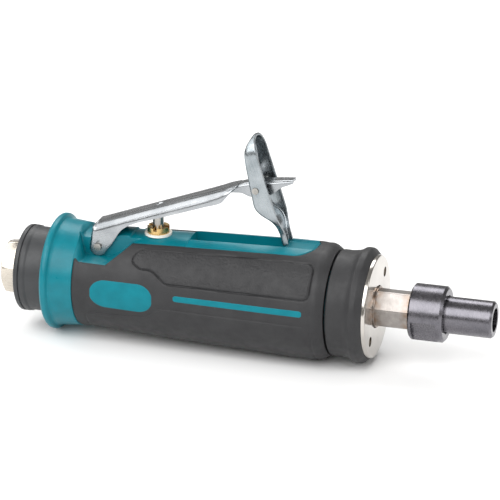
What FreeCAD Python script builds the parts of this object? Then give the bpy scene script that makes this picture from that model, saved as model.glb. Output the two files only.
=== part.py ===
"""Straight air die grinder: throttle lever with a safety latch, vane motor, ball bearings and collet.

Frame: the tool's axis is X, from the air inlet at the origin to the collet nose; +Z is the lever side.
All sizes are millimetres and sit in the spreadsheet "Sizes". Every station along the tool is worked out
from those sizes, so a piece follows the pieces that it seats on.
"""
import FreeCAD, Part
import math
import os
import re

import Sketcher

V = FreeCAD.Vector

SIZES = [
    # air inlet and exhaust cap
    ("inlet_hex_len", 7.5, "length of the inlet hexagon"),
    ("inlet_flats", 20.6, "inlet hexagon across flats"),
    ("inlet_thread_rad", 5.6, "quarter inch pipe thread, mean wall radius"),
    ("inlet_thread_len", 13.0, "depth of the pipe thread"),
    ("inlet_shank_rad", 8.4, "shank screwed into the housing"),
    ("inlet_shank_len", 22.7, "shank length inside the tool"),
    ("inlet_way_rad", 4.2, "air way through the inlet"),
    ("washer_thick", 0.5, "copper washer between the inlet hexagon and the cap"),
    ("washer_rad", 11.7, "copper washer radius"),
    ("cap_len", 13.4, "exhaust cap length"),
    ("cap_rad", 17.2, "exhaust cap radius"),
    ("cap_rim_rad", 17.7, "radius of the cap's two rear rims"),
    ("cap_rim_len", 1.9, "length of each rim"),
    ("cap_groove_len", 0.8, "groove between the rims"),
    ("cap_wall", 2.2, "cap wall"),
    ("spigot_rad", 11.5, "rear spigot of the housing, inside the cap"),
    ("exhaust_hole_rad", 1.1, "exhaust holes in the cap's rear wall"),
    # housing
    ("flange_len", 3.4, "rounded flange, length along the axis"),
    ("flange_rad", 23.75, "rounded flange radius"),
    ("sleeve_len", 9.7, "bare sleeve ahead of the flange"),
    ("sleeve_rear_rad", 21.9, "sleeve radius at the flange"),
    ("sleeve_front_rad", 21.0, "sleeve radius at the grip"),
    ("core_rad", 18.9, "housing under the grip"),
    ("collar_seat_rad", 18.0, "housing spigot under the front collar"),
    ("collar_seat_len", 10.5, "length of that spigot"),
    ("motor_bore_rad", 15.8, "bore that holds the motor"),
    ("motor_bore_len", 75.4, "length of the motor bore"),
    # grip
    ("grip_len", 104.8, "rubber grip length"),
    ("grip_rear_rad", 20.9, "grip radius at its rear end"),
    ("grip_waist_rad", 21.6, "grip radius over the lever pin end of the hand"),
    ("grip_waist_at", 22.0, "its place from the rear end"),
    ("grip_palm_rad", 23.2, "grip radius at the palm swell"),
    ("grip_palm_at", 68.5, "its place from the rear end"),
    ("grip_front_rad", 23.8, "largest radius near the front"),
    ("grip_front_at", 98.0, "its place from the rear end"),
    ("grip_end_rad", 21.4, "radius at the groove"),
    ("window_half", 9.1, "half width of the opening along the top"),
    ("window_end_gap", 7.1, "rubber left ahead of the opening"),
    ("window_drop", 0.25, "bare top below the rubber's surface"),
    ("valve_top_drop", 0.9, "lower bare top around the valve"),
    ("shelf_height", 11.2, "height of the side shelves beside the lever ears"),
    ("shelf_ahead", 6.3, "shelf ahead of the lever pin"),
    ("shelf_ramp_len", 10.0, "ramp from the shelf up to the top"),
    ("shelf_ramp_rise", 8.4, "rise of the ramp"),
    ("rib_half", 5.7, "half width of the rib between the lever ears"),
    # latch channel
    ("channel_half", 4.7, "half width of the channel that the latch tip swings in"),
    ("channel_floor", 17.2, "height of the channel floor"),
    ("channel_len", 39.0, "length of the channel"),
    ("channel_ahead", 11.1, "front end of the channel ahead of the latch pin"),
    ("ledge_gap", 0.6, "ledge below the resting latch tip"),
    # front collar and lock ring
    ("groove_len", 0.6, "dark groove between grip and collar"),
    ("collar_len", 14.6, "front collar length"),
    ("collar_rad", 21.4, "collar radius at the groove"),
    ("collar_lip_rad", 23.3, "collar lip radius"),
    ("collar_lip_at", 11.1, "lip's place from the collar's rear"),
    ("collar_face_rad", 20.9, "collar radius at the front face"),
    ("lock_ring_rad", 20.7, "lock ring radius"),
    ("lock_ring_thick", 1.6, "lock ring flange thickness"),
    ("lock_hub_len", 16.2, "threaded hub of the lock ring"),
    ("lock_hole_rad", 8.5, "hole that the spindle passes"),
    ("spanner_rad", 2.0, "two spanner holes"),
    ("spanner_circle", 15.3, "radius of their circle"),
    ("spanner_depth", 1.4, "their depth, short of the flange's thickness"),
    # motor
    ("plate_len", 8.5, "end plate length"),
    ("cylinder_len", 42.0, "motor cylinder length"),
    ("cylinder_rad", 15.7, "motor cylinder outside"),
    ("liner_rad", 13.0, "motor cylinder bore"),
    ("liner_offset", 1.4, "bore centre above the axis"),
    ("rotor_rad", 11.5, "rotor"),
    ("rotor_gap", 0.3, "end gap at each end of the rotor"),
    ("blade_thick", 1.8, "rotor blade"),
    ("slot_play", 0.1, "play at each side of a blade"),
    ("slot_floor", 5.0, "radius of the slot bottoms"),
    ("dowel_rad", 1.25, "dowel that stops the cylinder turning"),
    # bearings
    ("front_bore", 6.0, "front bearing bore radius"),
    ("front_outer", 14.0, "front bearing outside radius"),
    ("front_width", 8.0, "front bearing width"),
    ("front_ball", 1.95, "front bearing ball radius"),
    ("rear_bore", 4.0, "rear bearing bore radius"),
    ("rear_outer", 11.0, "rear bearing outside radius"),
    ("rear_width", 7.0, "rear bearing width"),
    ("rear_ball", 1.6, "rear bearing ball radius"),
    ("ball_play", 0.05, "play of a ball in its groove"),
    ("ring_share", 0.34, "share of a bearing's section taken by each ring"),
    ("run_play", 0.05, "running clearance of a shaft in a fixed hole"),
    # spindle and collet
    ("neck_rad", 8.2, "spindle in the lock ring"),
    ("hex_flats", 14.0, "spindle hexagon across flats"),
    ("hex_len", 14.6, "spindle hexagon, visible length"),
    ("nose_thread_rad", 7.6, "spindle thread under the nut"),
    ("nose_thread_len", 10.3, "length of that thread"),
    ("nut_rad", 11.25, "collet nut radius"),
    ("nut_len", 13.9, "collet nut length"),
    ("nut_flats", 19.0, "wrench flats on the nut"),
    ("nut_flat_len", 10.0, "length of the wrench flats"),
    ("nut_turned", 34.0, "angle of the flats below the side"),
    ("nut_wall", 2.0, "front wall of the nut"),
    ("nut_cavity_rad", 8.8, "room in the nut for the collet ring"),
    ("thread_play", 0.06, "clearance between threads"),
    ("nose_rad", 7.4, "collet nose radius"),
    ("nose_len", 19.1, "collet nose ahead of the nut"),
    ("nose_hole_play", 0.35, "gap round the nose in the nut's face"),
    ("collet_bore_rad", 4.7625, "three eighths inch shank bore"),
    ("collet_tail_len", 10.5, "tapered tail of the collet inside the spindle"),
    ("collet_tail_rad", 5.5, "small end of the tail"),
    ("collet_mouth_rad", 6.7, "large end of the tail"),
    ("ring_rad", 8.6, "snap ring on the collet"),
    ("slit_width", 0.8, "slits in the collet tail"),
    # throttle lever
    ("lever_pin_x", 41.4, "lever pin along the axis"),
    ("lever_pin_z", 15.2, "lever pin above the axis"),
    ("lever_pin_rad", 1.55, "lever pin"),
    ("lever_pin_half", 8.1, "half length of the lever pin"),
    ("lever_slope", 20.3, "slope of the released lever in degrees"),
    ("lever_half", 7.2, "half width of the lever"),
    ("lever_sheet", 1.2, "lever sheet thickness"),
    ("lever_top", 9.4, "lever top above its pin line"),
    ("lever_round", 2.7, "outside radius of the lever's long edges"),
    ("lever_ear_rad", 3.7, "round end of the lever's ears"),
    ("lever_wing_end", 61.5, "front end of the wide part"),
    ("lever_flange", 4.3, "height of the side flange at mid length"),
    ("tongue_half", 3.6, "half width of the front tongue"),
    ("tongue_reach", 14.8, "tongue ahead of the latch pin"),
    ("latch_pin_u", 72.8, "latch pin along the lever"),
    ("latch_pin_w", 6.0, "latch pin above the lever's pin line"),
    ("pin_play", 0.05, "clearance of a pivoting piece on its pin"),
    # safety latch
    ("latch_pin_rad", 1.35, "latch pin"),
    ("latch_half", 7.4, "half width of the latch"),
    ("latch_sheet", 1.0, "latch sheet thickness"),
    ("latch_tilt", 18.1, "lean of the latch to the rear in degrees"),
    ("latch_up", 21.0, "latch above its pin"),
    ("latch_down", 25.4, "latch below its pin"),
    ("latch_front", 4.9, "front edge ahead of the pin"),
    ("latch_back", 2.65, "back web behind the pin"),
    ("latch_tip_half", 3.8, "half width of the tip"),
    ("latch_tip_back", 2.9, "back of the tip ahead of the pin"),
    ("latch_slot_half", 4.1, "half width of the slot for the tongue"),
    ("latch_slot_up", 6.0, "top of that slot above the pin"),
    ("latch_slot_down", 11.5, "bottom of that slot below the pin"),
    # valve
    ("valve_x", 64.8, "valve along the axis"),
    ("valve_seat_z", 20.8, "face that the washer lies on"),
    ("valve_washer_rad", 5.5, "nylon washer"),
    ("valve_washer_thick", 0.9, "nylon washer thickness"),
    ("bushing_rad", 4.5, "bushing head"),
    ("bushing_head", 2.6, "bushing head height"),
    ("bushing_shank_rad", 4.0, "bushing shank"),
    ("bushing_shank_len", 7.0, "bushing shank length"),
    ("stem_rad", 2.3, "valve stem"),
    ("stem_gap", 0.6, "gap between the middle of the stem and the released lever"),
    ("chamber_rad", 4.9, "valve chamber"),
    ("chamber_floor", -7.0, "floor of the valve chamber"),
    ("seat_thick", 1.6, "rubber valve seat"),
    ("seat_hole_rad", 2.9, "hole in the valve seat"),
    ("poppet_rad", 3.9, "poppet"),
    ("poppet_thick", 1.6, "poppet thickness"),
]

# Places worked out from the sizes, written as expressions in their names.
PLACES = {
    "cap_x": "(inlet_hex_len + washer_thick)",
    "shank_end_x": "(cap_x + inlet_shank_len)",
    "flange_x": "(cap_x + cap_len)",
    "sleeve_x": "(flange_x + flange_len)",
    "grip_x": "(sleeve_x + sleeve_len)",
    "grip_end_x": "(grip_x + grip_len)",
    "collar_x": "(grip_end_x + groove_len)",
    "ring_x": "(collar_x + collar_len)",
    "face_x": "(ring_x + lock_ring_thick)",
    "seat_end_x": "(collar_x + collar_seat_len)",
    "motor_x": "(seat_end_x - motor_bore_len)",
    "cylinder_x": "(motor_x + plate_len)",
    "front_plate_x": "(cylinder_x + cylinder_len)",
    "front_bearing_x": "(front_plate_x + 2)",
    "rear_bearing_x": "(cylinder_x - 1.5 - rear_width)",
    "hub_x": "(ring_x - lock_hub_len)",
    "nut_x": "(face_x + hex_len)",
    "nut_face_x": "(nut_x + nut_len)",
    "nose_x": "(nut_face_x + nose_len)",
    "mouth_x": "(nut_x + nose_thread_len)",
    "tail_x": "(mouth_x - collet_tail_len)",
    "window_end_x": "(grip_end_x - window_end_gap - window_half)",
    "channel_end_x": "(latch_pin_x + channel_ahead)",
    "channel_x": "(channel_end_x - channel_len)",
    "shelf_ramp_x": "(lever_pin_x + shelf_ahead)",
    "shelf_end_x": "(shelf_ramp_x + shelf_ramp_len)",
    "latch_pin_x": "(lever_pin_x + latch_pin_u * cos(lever_slope * 1deg)"
                   " - latch_pin_w * sin(lever_slope * 1deg))",
    "latch_pin_z": "(lever_pin_z + latch_pin_u * sin(lever_slope * 1deg)"
                   " + latch_pin_w * cos(lever_slope * 1deg))",
    "latch_tip_z": "(latch_pin_z - latch_down * cos(latch_tilt * 1deg) + latch_tip_back * sin(latch_tilt * 1deg))",
    "stem_top_z": "(lever_pin_z + (lever_top - lever_sheet + (valve_x - lever_pin_x) * sin(lever_slope * 1deg))"
                  " / cos(lever_slope * 1deg) - stem_gap)",
    "poppet_z": "(seat_z - poppet_thick)",
    "seat_z": "(valve_seat_z - bushing_shank_len - seat_thick)",
}

DOC = FreeCAD.newDocument("DieGrinder")
ALIASES = {name for name, _, _ in SIZES}
NODES = []
COUNT = {}


def make_sheet():
    """Write every size into the spreadsheet, one row each."""
    sheet = DOC.addObject("Spreadsheet::Sheet", "Sizes")
    for row, (name, value, meaning) in enumerate(SIZES, start=1):
        sheet.set(f"A{row}", meaning)
        sheet.set(f"B{row}", str(value))
        sheet.setAlias(f"B{row}", name)
    DOC.recompute()
    return sheet


SHEET = make_sheet()


def expand(text):
    """Spell places and sizes out as references to the spreadsheet."""
    def word(match):
        name = match.group(0)
        if name in PLACES:
            return expand(PLACES[name])
        return "Sizes." + name if name in ALIASES else name
    return re.sub(r"[a-z][a-z_]*", word, str(text))


def number(text):
    """The present value of an expression."""
    value = SHEET.evalExpression(expand(text))
    return float(getattr(value, "Value", value))


def unique(kind):
    """A fresh internal name for a construction object."""
    COUNT[kind] = COUNT.get(kind, 0) + 1
    return f"{kind}_{COUNT[kind]}"


def bind(thing, **expressions):
    """Bind properties of an object; Base_x stands for Placement.Base.x."""
    for key, text in expressions.items():
        path = "Placement." + key.replace("_", ".") if key.startswith("Base") else key
        thing.setExpression(path, expand(text))
    return thing


def along(thing, axis, x, y, z):
    """Turn a primitive's own Z towards X, Y or Z and put its base at x, y, z."""
    turns = {"X": FreeCAD.Rotation(V(0, 1, 0), 90), "Y": FreeCAD.Rotation(V(1, 0, 0), -90),
             "Z": FreeCAD.Rotation()}
    thing.Placement = FreeCAD.Placement(V(0, 0, 0), turns[axis])
    return bind(thing, Base_x=x, Base_y=y, Base_z=z)


def cylinder(radius, start, end, axis="X", y="0", z="0", x="0"):
    """A cylinder from start to end along its axis."""
    thing = bind(DOC.addObject("Part::Cylinder", unique("Cylinder")), Radius=radius,
                 Height=f"({end}) - ({start})")
    place = {"X": (start, y, z), "Y": (x, start, z), "Z": (x, y, start)}[axis]
    return along(thing, axis, *place)


def cone(radius_a, radius_b, start, end, axis="X", x="0"):
    """A cone on the tool's axis, or upright at x."""
    thing = bind(DOC.addObject("Part::Cone", unique("Cone")), Radius1=radius_a, Radius2=radius_b,
                 Height=f"({end}) - ({start})")
    return along(thing, axis, *((start, "0", "0") if axis == "X" else (x, "0", start)))


def torus(ring_radius, wire_radius, x, y="0", z="0", axis="X"):
    """A torus about an axis."""
    thing = bind(DOC.addObject("Part::Torus", unique("Torus")), Radius1=ring_radius, Radius2=wire_radius)
    return along(thing, axis, x, y, z)


def ball(radius, x, y, z):
    """A sphere."""
    thing = bind(DOC.addObject("Part::Sphere", unique("Ball")), Radius=radius)
    return bind(thing, Base_x=x, Base_y=y, Base_z=z)


def box(xs, ys, zs):
    """A box between two corners, each a pair of expressions."""
    thing = DOC.addObject("Part::Box", unique("Box"))
    return bind(thing, Length=f"({xs[1]}) - ({xs[0]})", Width=f"({ys[1]}) - ({ys[0]})",
                Height=f"({zs[1]}) - ({zs[0]})", Base_x=xs[0], Base_y=ys[0], Base_z=zs[0])


def hexagon(flats, start, end, turned=0.0):
    """A hexagonal bar on the tool's axis, turned about it."""
    thing = DOC.addObject("Part::Prism", unique("Hexagon"))
    thing.Polygon = 6
    bind(thing, Circumradius=f"({flats}) / 2 / cos(30deg)", Height=f"({end}) - ({start})")
    thing.Placement = FreeCAD.Placement(V(), FreeCAD.Rotation(V(1, 0, 0), turned)
                                        * FreeCAD.Rotation(V(0, 1, 0), 90))
    return bind(thing, Base_x=start)


def fuse(*things):
    """Join solids."""
    if len(things) == 1:
        return things[0]
    joined = DOC.addObject("Part::MultiFuse", unique("Fuse"))
    joined.Shapes = list(things)
    joined.Refine = True
    return joined


def common(one, two):
    """Keep what two solids share."""
    shared = DOC.addObject("Part::Common", unique("Common"))
    shared.Base = one
    shared.Tool = two
    return shared


def cut(base, *tools):
    """Take tools out of a solid."""
    left = DOC.addObject("Part::Cut", unique("Cut"))
    left.Base = base
    left.Tool = fuse(*tools)
    left.Refine = True
    return left


def sketch_outline(body, role, points):
    """A closed outline on one of the body's own planes, with every corner bound to the sheet."""
    plane = [feature for feature in body.Origin.OriginFeatures if feature.Role == role][0]
    sketch = body.newObject("Sketcher::SketchObject", unique("Outline"))
    sketch.AttachmentSupport = [(plane, "")]
    sketch.MapMode = "FlatFace"
    corners = [V(number(a), number(b), 0) for a, b in points]
    total = len(corners)
    for i in range(total):
        sketch.addGeometry(Part.LineSegment(corners[i], corners[(i + 1) % total]), False)
    for i in range(total):
        sketch.addConstraint(Sketcher.Constraint("Coincident", i, 2, (i + 1) % total, 1))
    for i, pair in enumerate(points):
        for kind, axis, text, now in (("DistanceX", -2, pair[0], corners[i].x),
                                      ("DistanceY", -1, pair[1], corners[i].y)):
            if str(text) == "0":
                sketch.addConstraint(Sketcher.Constraint("PointOnObject", i, 1, axis))
                continue
            index = sketch.addConstraint(Sketcher.Constraint(kind, -1, 1, i, 1, now))
            sketch.setExpression(f"Constraints[{index}]", expand(text))
    return sketch


def turned(points):
    """A turned piece: an outline of (x, radius) corners swept round the tool's axis."""
    body = DOC.addObject("PartDesign::Body", unique("Turned"))
    sketch = sketch_outline(body, "XY_Plane", points)
    sweep = body.newObject("PartDesign::Revolution", unique("Sweep"))
    sweep.Profile = sketch
    sweep.ReferenceAxis = (sketch, ["H_Axis"])
    sweep.Angle = 360
    return body


def plate(points, half, role="XZ_Plane"):
    """A flat outline thickened both ways from its plane."""
    body = DOC.addObject("PartDesign::Body", unique("Plate"))
    pad = body.newObject("PartDesign::Pad", unique("Pad"))
    pad.Profile = sketch_outline(body, role, points)
    pad.Midplane = True
    bind(pad, Length=f"2 * ({half})")
    return body


def node(name, thing):
    """Give a finished sub-part its name."""
    thing.Label = name
    NODES.append(thing)
    return thing


def grip_outline(drop):
    """Corners of the grip's surface, each `drop` below it."""
    return [
        ("grip_x", f"grip_rear_rad - ({drop})"),
        ("grip_x + 4.5", f"grip_rear_rad - ({drop})"),
        ("grip_x + grip_waist_at", f"grip_waist_rad - ({drop})"),
        ("grip_x + grip_palm_at", f"grip_palm_rad - ({drop})"),
        ("grip_x + grip_front_at", f"grip_front_rad - ({drop})"),
        ("grip_end_x - 3", f"grip_front_rad - 0.7 - ({drop})"),
        ("grip_end_x", f"grip_end_rad - ({drop})"),
    ]


def window():
    """The space of the grip's top opening, with the lower part beside the lever's ears."""
    top = fuse(box(("grip_x - 1", "window_end_x"), ("-window_half", "window_half"), ("0", "30")),
               cylinder("window_half", "0", "30", axis="Z", x="window_end_x"))
    beside = plate([("grip_x - 1", "shelf_height - 0.8"), ("shelf_ramp_x", "shelf_height - 0.8"),
                    ("shelf_end_x", "shelf_height + shelf_ramp_rise - 0.8"), ("shelf_end_x", "30"),
                    ("grip_x - 1", "30")], "30")
    return fuse(top, beside)


def make_housing():
    """Composite housing: flange, sleeve, motor bore, valve chamber and the bare top."""
    outline = [
        ("cap_x + cap_wall", "inlet_shank_rad"), ("shank_end_x", "inlet_shank_rad"),
        ("shank_end_x", "inlet_way_rad"), ("valve_x", "inlet_way_rad"), ("valve_x", "0"),
        ("motor_x", "0"), ("motor_x", "motor_bore_rad"), ("seat_end_x", "motor_bore_rad"),
        ("seat_end_x", "collar_seat_rad"), ("grip_end_x", "collar_seat_rad"), ("grip_end_x", "core_rad"),
        ("grip_x", "core_rad"), ("grip_x", "sleeve_front_rad"), ("sleeve_x", "sleeve_rear_rad"),
        ("sleeve_x - 0.3", "flange_rad - 0.9"), ("sleeve_x - 1.4", "flange_rad - 0.15"),
        ("flange_x + flange_len / 2", "flange_rad"), ("flange_x + 1.4", "flange_rad - 0.25"),
        ("flange_x + 0.4", "flange_rad - 1.3"), ("flange_x", "flange_rad - 3"), ("flange_x", "spigot_rad"),
        ("cap_x + cap_wall", "spigot_rad"),
    ]
    top = common(turned([("grip_x", "core_rad - 2")] + grip_outline("window_drop")[:6]
                        + [("grip_end_x - 3", "core_rad - 2")]), window())
    lowered = cut(box(("shelf_end_x - 3", "channel_x"), ("-12", "12"), ("0", "30")),
                  turned([("grip_x", "0")] + grip_outline("valve_top_drop") + [("grip_end_x", "0")]))
    shelves = [bind(plate([("grip_x + 1.2", "shelf_height"), ("shelf_ramp_x", "shelf_height"),
                           ("shelf_end_x", "shelf_height + shelf_ramp_rise"), ("shelf_end_x", "30"),
                           ("grip_x - 0.6", "30"), ("grip_x - 0.6", "shelf_height + 5")], "10"),
                    Base_y=f"{side} * (rib_half + 10)") for side in (-1, 1)]
    channel = fuse(box(("channel_x", "channel_end_x"), ("-channel_half", "channel_half"),
                       ("channel_floor", "30")),
                   box(("channel_end_x - 1", "window_end_x + 1"), ("-channel_half", "channel_half"),
                       ("latch_tip_z - ledge_gap", "30")))
    chamber = fuse(cylinder("chamber_rad", "chamber_floor", "valve_seat_z - bushing_shank_len", axis="Z",
                            x="valve_x"),
                   cylinder("bushing_shank_rad", "0", "valve_seat_z + 1", axis="Z", x="valve_x"),
                   cylinder("valve_washer_rad + 0.3", "valve_seat_z", "valve_seat_z + 5", axis="Z", x="valve_x"))
    air_ways = [cylinder("1.6", "valve_x", "motor_x + 1", y=y, z="8") for y in ("-2.4", "2.4")]
    exhaust = [cylinder("1.7", "flange_x - 1", "motor_x + 1", y=f"{13.4 * math.cos(a):.4f}",
                        z=f"{13.4 * math.sin(a):.4f}")
               for a in [math.radians(d) for d in (-150, -120, -90, -60, -30)]]
    pin_hole = cylinder("lever_pin_rad", "-12", "12", axis="Y", x="lever_pin_x", z="lever_pin_z")
    return node("housing", cut(fuse(turned(outline), top), lowered, *shelves, channel, chamber, *air_ways,
                               *exhaust, pin_hole))


def make_grip():
    """Rubber grip moulded over the housing, with its long opening on top."""
    outline = [("grip_x", "core_rad")] + grip_outline("0") + [("grip_end_x", "core_rad")]
    return node("grip_sleeve", cut(turned(outline), window()))


def make_exhaust_cap():
    """Ribbed cap at the rear, with a ring of exhaust holes."""
    rim_end = "cap_x + cap_rim_len"
    second = "cap_x + cap_rim_len + cap_groove_len"
    outline = [
        ("cap_x", "spigot_rad - 2.6"), ("cap_x", "cap_rim_rad - 0.5"), ("cap_x + 0.5", "cap_rim_rad"),
        (rim_end, "cap_rim_rad"), (rim_end, "cap_rad - 0.4"), (second, "cap_rad - 0.4"),
        (second, "cap_rim_rad"), (second + " + cap_rim_len", "cap_rim_rad"),
        (second + " + cap_rim_len + 0.3", "cap_rad"), ("flange_x", "cap_rad"),
        ("flange_x", "cap_rad - cap_wall"), ("cap_x + cap_wall", "cap_rad - cap_wall"),
        ("cap_x + cap_wall", "spigot_rad - 2.6"),
    ]
    holes = [cylinder("exhaust_hole_rad", "cap_x - 1", "cap_x + cap_wall + 1",
                      y=f"(spigot_rad + 1.9) * cos({30 * k}deg)", z=f"(spigot_rad + 1.9) * sin({30 * k}deg)")
             for k in range(12)]
    node("exhaust_cap", cut(turned(outline), *holes))
    inner = "cap_x + cap_wall + 0.6"
    node("muffler_felt", turned([(inner, "spigot_rad"), (inner, "cap_rad - cap_wall"),
                                 ("flange_x - 0.3", "cap_rad - cap_wall"), ("flange_x - 0.3", "spigot_rad")]))


def make_inlet():
    """Hexagonal inlet bushing, its copper washer, its o-ring and the dirt screen in it."""
    bar = common(hexagon("inlet_flats", "0", "inlet_hex_len", 14),
                 turned([("0", "0"), ("0", "inlet_flats / 2 - 0.4"), ("1", "inlet_flats / 2 + 1.2"),
                         ("inlet_hex_len", "inlet_flats / 2 + 1.6"), ("inlet_hex_len", "0")]))
    shank = cylinder("inlet_shank_rad", "inlet_hex_len - 0.5", "shank_end_x")
    ring_seat = turned([("shank_end_x - 4", "inlet_shank_rad - 1.1"), ("shank_end_x - 4", "inlet_shank_rad + 1"),
                        ("shank_end_x - 2", "inlet_shank_rad + 1"), ("shank_end_x - 2", "inlet_shank_rad - 1.1")])
    bore = fuse(cylinder("inlet_thread_rad", "-1", "inlet_thread_len"),
                cylinder("inlet_way_rad", "0", "shank_end_x + 1"))
    node("inlet_bushing", cut(fuse(bar, shank), bore, ring_seat))
    node("inlet_o_ring", turned([("shank_end_x - 3.9", "inlet_shank_rad - 1.05"),
                                 ("shank_end_x - 3.9", "inlet_shank_rad - 0.02"),
                                 ("shank_end_x - 2.1", "inlet_shank_rad - 0.02"),
                                 ("shank_end_x - 2.1", "inlet_shank_rad - 1.05")]))
    node("inlet_washer", turned([("inlet_hex_len", "inlet_shank_rad + 0.1"), ("inlet_hex_len", "washer_rad"),
                                 ("cap_x", "washer_rad"), ("cap_x", "inlet_shank_rad + 0.1")]))
    mesh_x = ("inlet_thread_len + 0.3", "inlet_thread_len + 0.7")
    wires = []
    for k in range(-2, 3):
        band = (f"{1.4 * k - 0.2:.2f}", f"{1.4 * k + 0.2:.2f}")
        wires.append(box(mesh_x, ("-inlet_way_rad", "inlet_way_rad"), band))
        wires.append(box(mesh_x, band, ("-inlet_way_rad", "inlet_way_rad")))
    disc = cylinder("inlet_way_rad - 0.1", *mesh_x)
    rim = cut(cylinder("inlet_way_rad - 0.01", "inlet_thread_len + 0.1", "inlet_thread_len + 1"),
              cylinder("inlet_way_rad - 0.6", "inlet_thread_len - 1", "inlet_thread_len + 2"))
    node("inlet_screen", fuse(rim, common(fuse(*wires), disc)))


def make_front():
    """Front collar and the threaded lock ring that closes the motor bore, with the felt seal in it."""
    outline = [
        ("collar_x", "collar_seat_rad"), ("collar_x", "collar_rad - 0.4"), ("collar_x + 0.5", "collar_rad"),
        ("collar_x + 4", "collar_rad - 0.1"), ("collar_x + 7.5", "collar_rad + 0.5"),
        ("collar_x + collar_lip_at - 0.7", "collar_lip_rad - 0.1"), ("collar_x + collar_lip_at + 0.6", "collar_lip_rad"),
        ("collar_x + collar_lip_at + 1.9", "collar_lip_rad - 0.8"), ("ring_x", "collar_face_rad"),
        ("ring_x", "motor_bore_rad"), ("seat_end_x", "motor_bore_rad"), ("seat_end_x", "collar_seat_rad"),
    ]
    node("front_collar", turned(outline))
    ring = turned([("hub_x", "lock_hole_rad + 3"), ("hub_x", "motor_bore_rad"), ("ring_x", "motor_bore_rad"),
                   ("ring_x", "lock_ring_rad - 0.3"), ("ring_x + 0.4", "lock_ring_rad"),
                   ("face_x - 0.5", "lock_ring_rad"), ("face_x", "lock_ring_rad - 0.7"),
                   ("face_x", "lock_hole_rad + 0.3"), ("face_x - 0.3", "lock_hole_rad"),
                   ("face_x - 5", "lock_hole_rad"), ("face_x - 5", "lock_hole_rad + 3")])
    holes = [cylinder("spanner_rad", "face_x - spanner_depth", "face_x + 1",
                      y=f"{side} * spanner_circle * cos(45deg)", z=f"{side} * spanner_circle * sin(45deg)")
             for side in (-1, 1)]
    node("lock_ring", cut(ring, *holes))
    node("spindle_felt", turned([("face_x - 9", "neck_rad + run_play"), ("face_x - 9", "lock_hole_rad + 2.95"),
                                 ("face_x - 5.05", "lock_hole_rad + 2.95"),
                                 ("face_x - 5.05", "neck_rad + run_play")]))


def make_bearing(side, start, bore, outer, width, ball_rad, count):
    """A deep groove ball bearing: two grooved rings, balls and a cage."""
    ring = f"({outer} - {bore}) * ring_share"
    circle = f"({outer} + {bore}) / 2"
    middle = f"{start} + {width} / 2"
    groove = f"{ball_rad} + ball_play"
    balls = [ball(ball_rad, middle, f"{circle} * cos({360 / count * k:.5f}deg)",
                  f"{circle} * sin({360 / count * k:.5f}deg)") for k in range(count)]
    pockets = [ball(ball_rad, middle, f"{circle} * cos({360 / count * k:.5f}deg)",
                    f"{circle} * sin({360 / count * k:.5f}deg)") for k in range(count)]
    node(f"{side}_bearing_inner", cut(cylinder(f"{bore} + {ring}", start, f"{start} + {width}"),
                                      cylinder(bore, f"{start} - 1", f"{start} + {width} + 1"),
                                      torus(circle, groove, middle)))
    node(f"{side}_bearing_outer", cut(cylinder(outer, start, f"{start} + {width}"),
                                      cylinder(f"{outer} - {ring}", f"{start} - 1", f"{start} + {width} + 1"),
                                      torus(circle, groove, middle)))
    balls_group = DOC.addObject("Part::Compound", unique("Balls"))
    balls_group.Links = balls
    node(f"{side}_bearing_balls", balls_group)
    cage_half = f"{ball_rad} * 1.2"
    node(f"{side}_bearing_cage", cut(cylinder(f"{circle} + {ball_rad} * 0.5", f"{middle} - {cage_half}",
                                              f"{middle} + {cage_half}"),
                                     cylinder(f"{circle} - {ball_rad} * 0.5", f"{start} - 1", f"{start} + {width} + 1"),
                                     *pockets))


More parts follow.
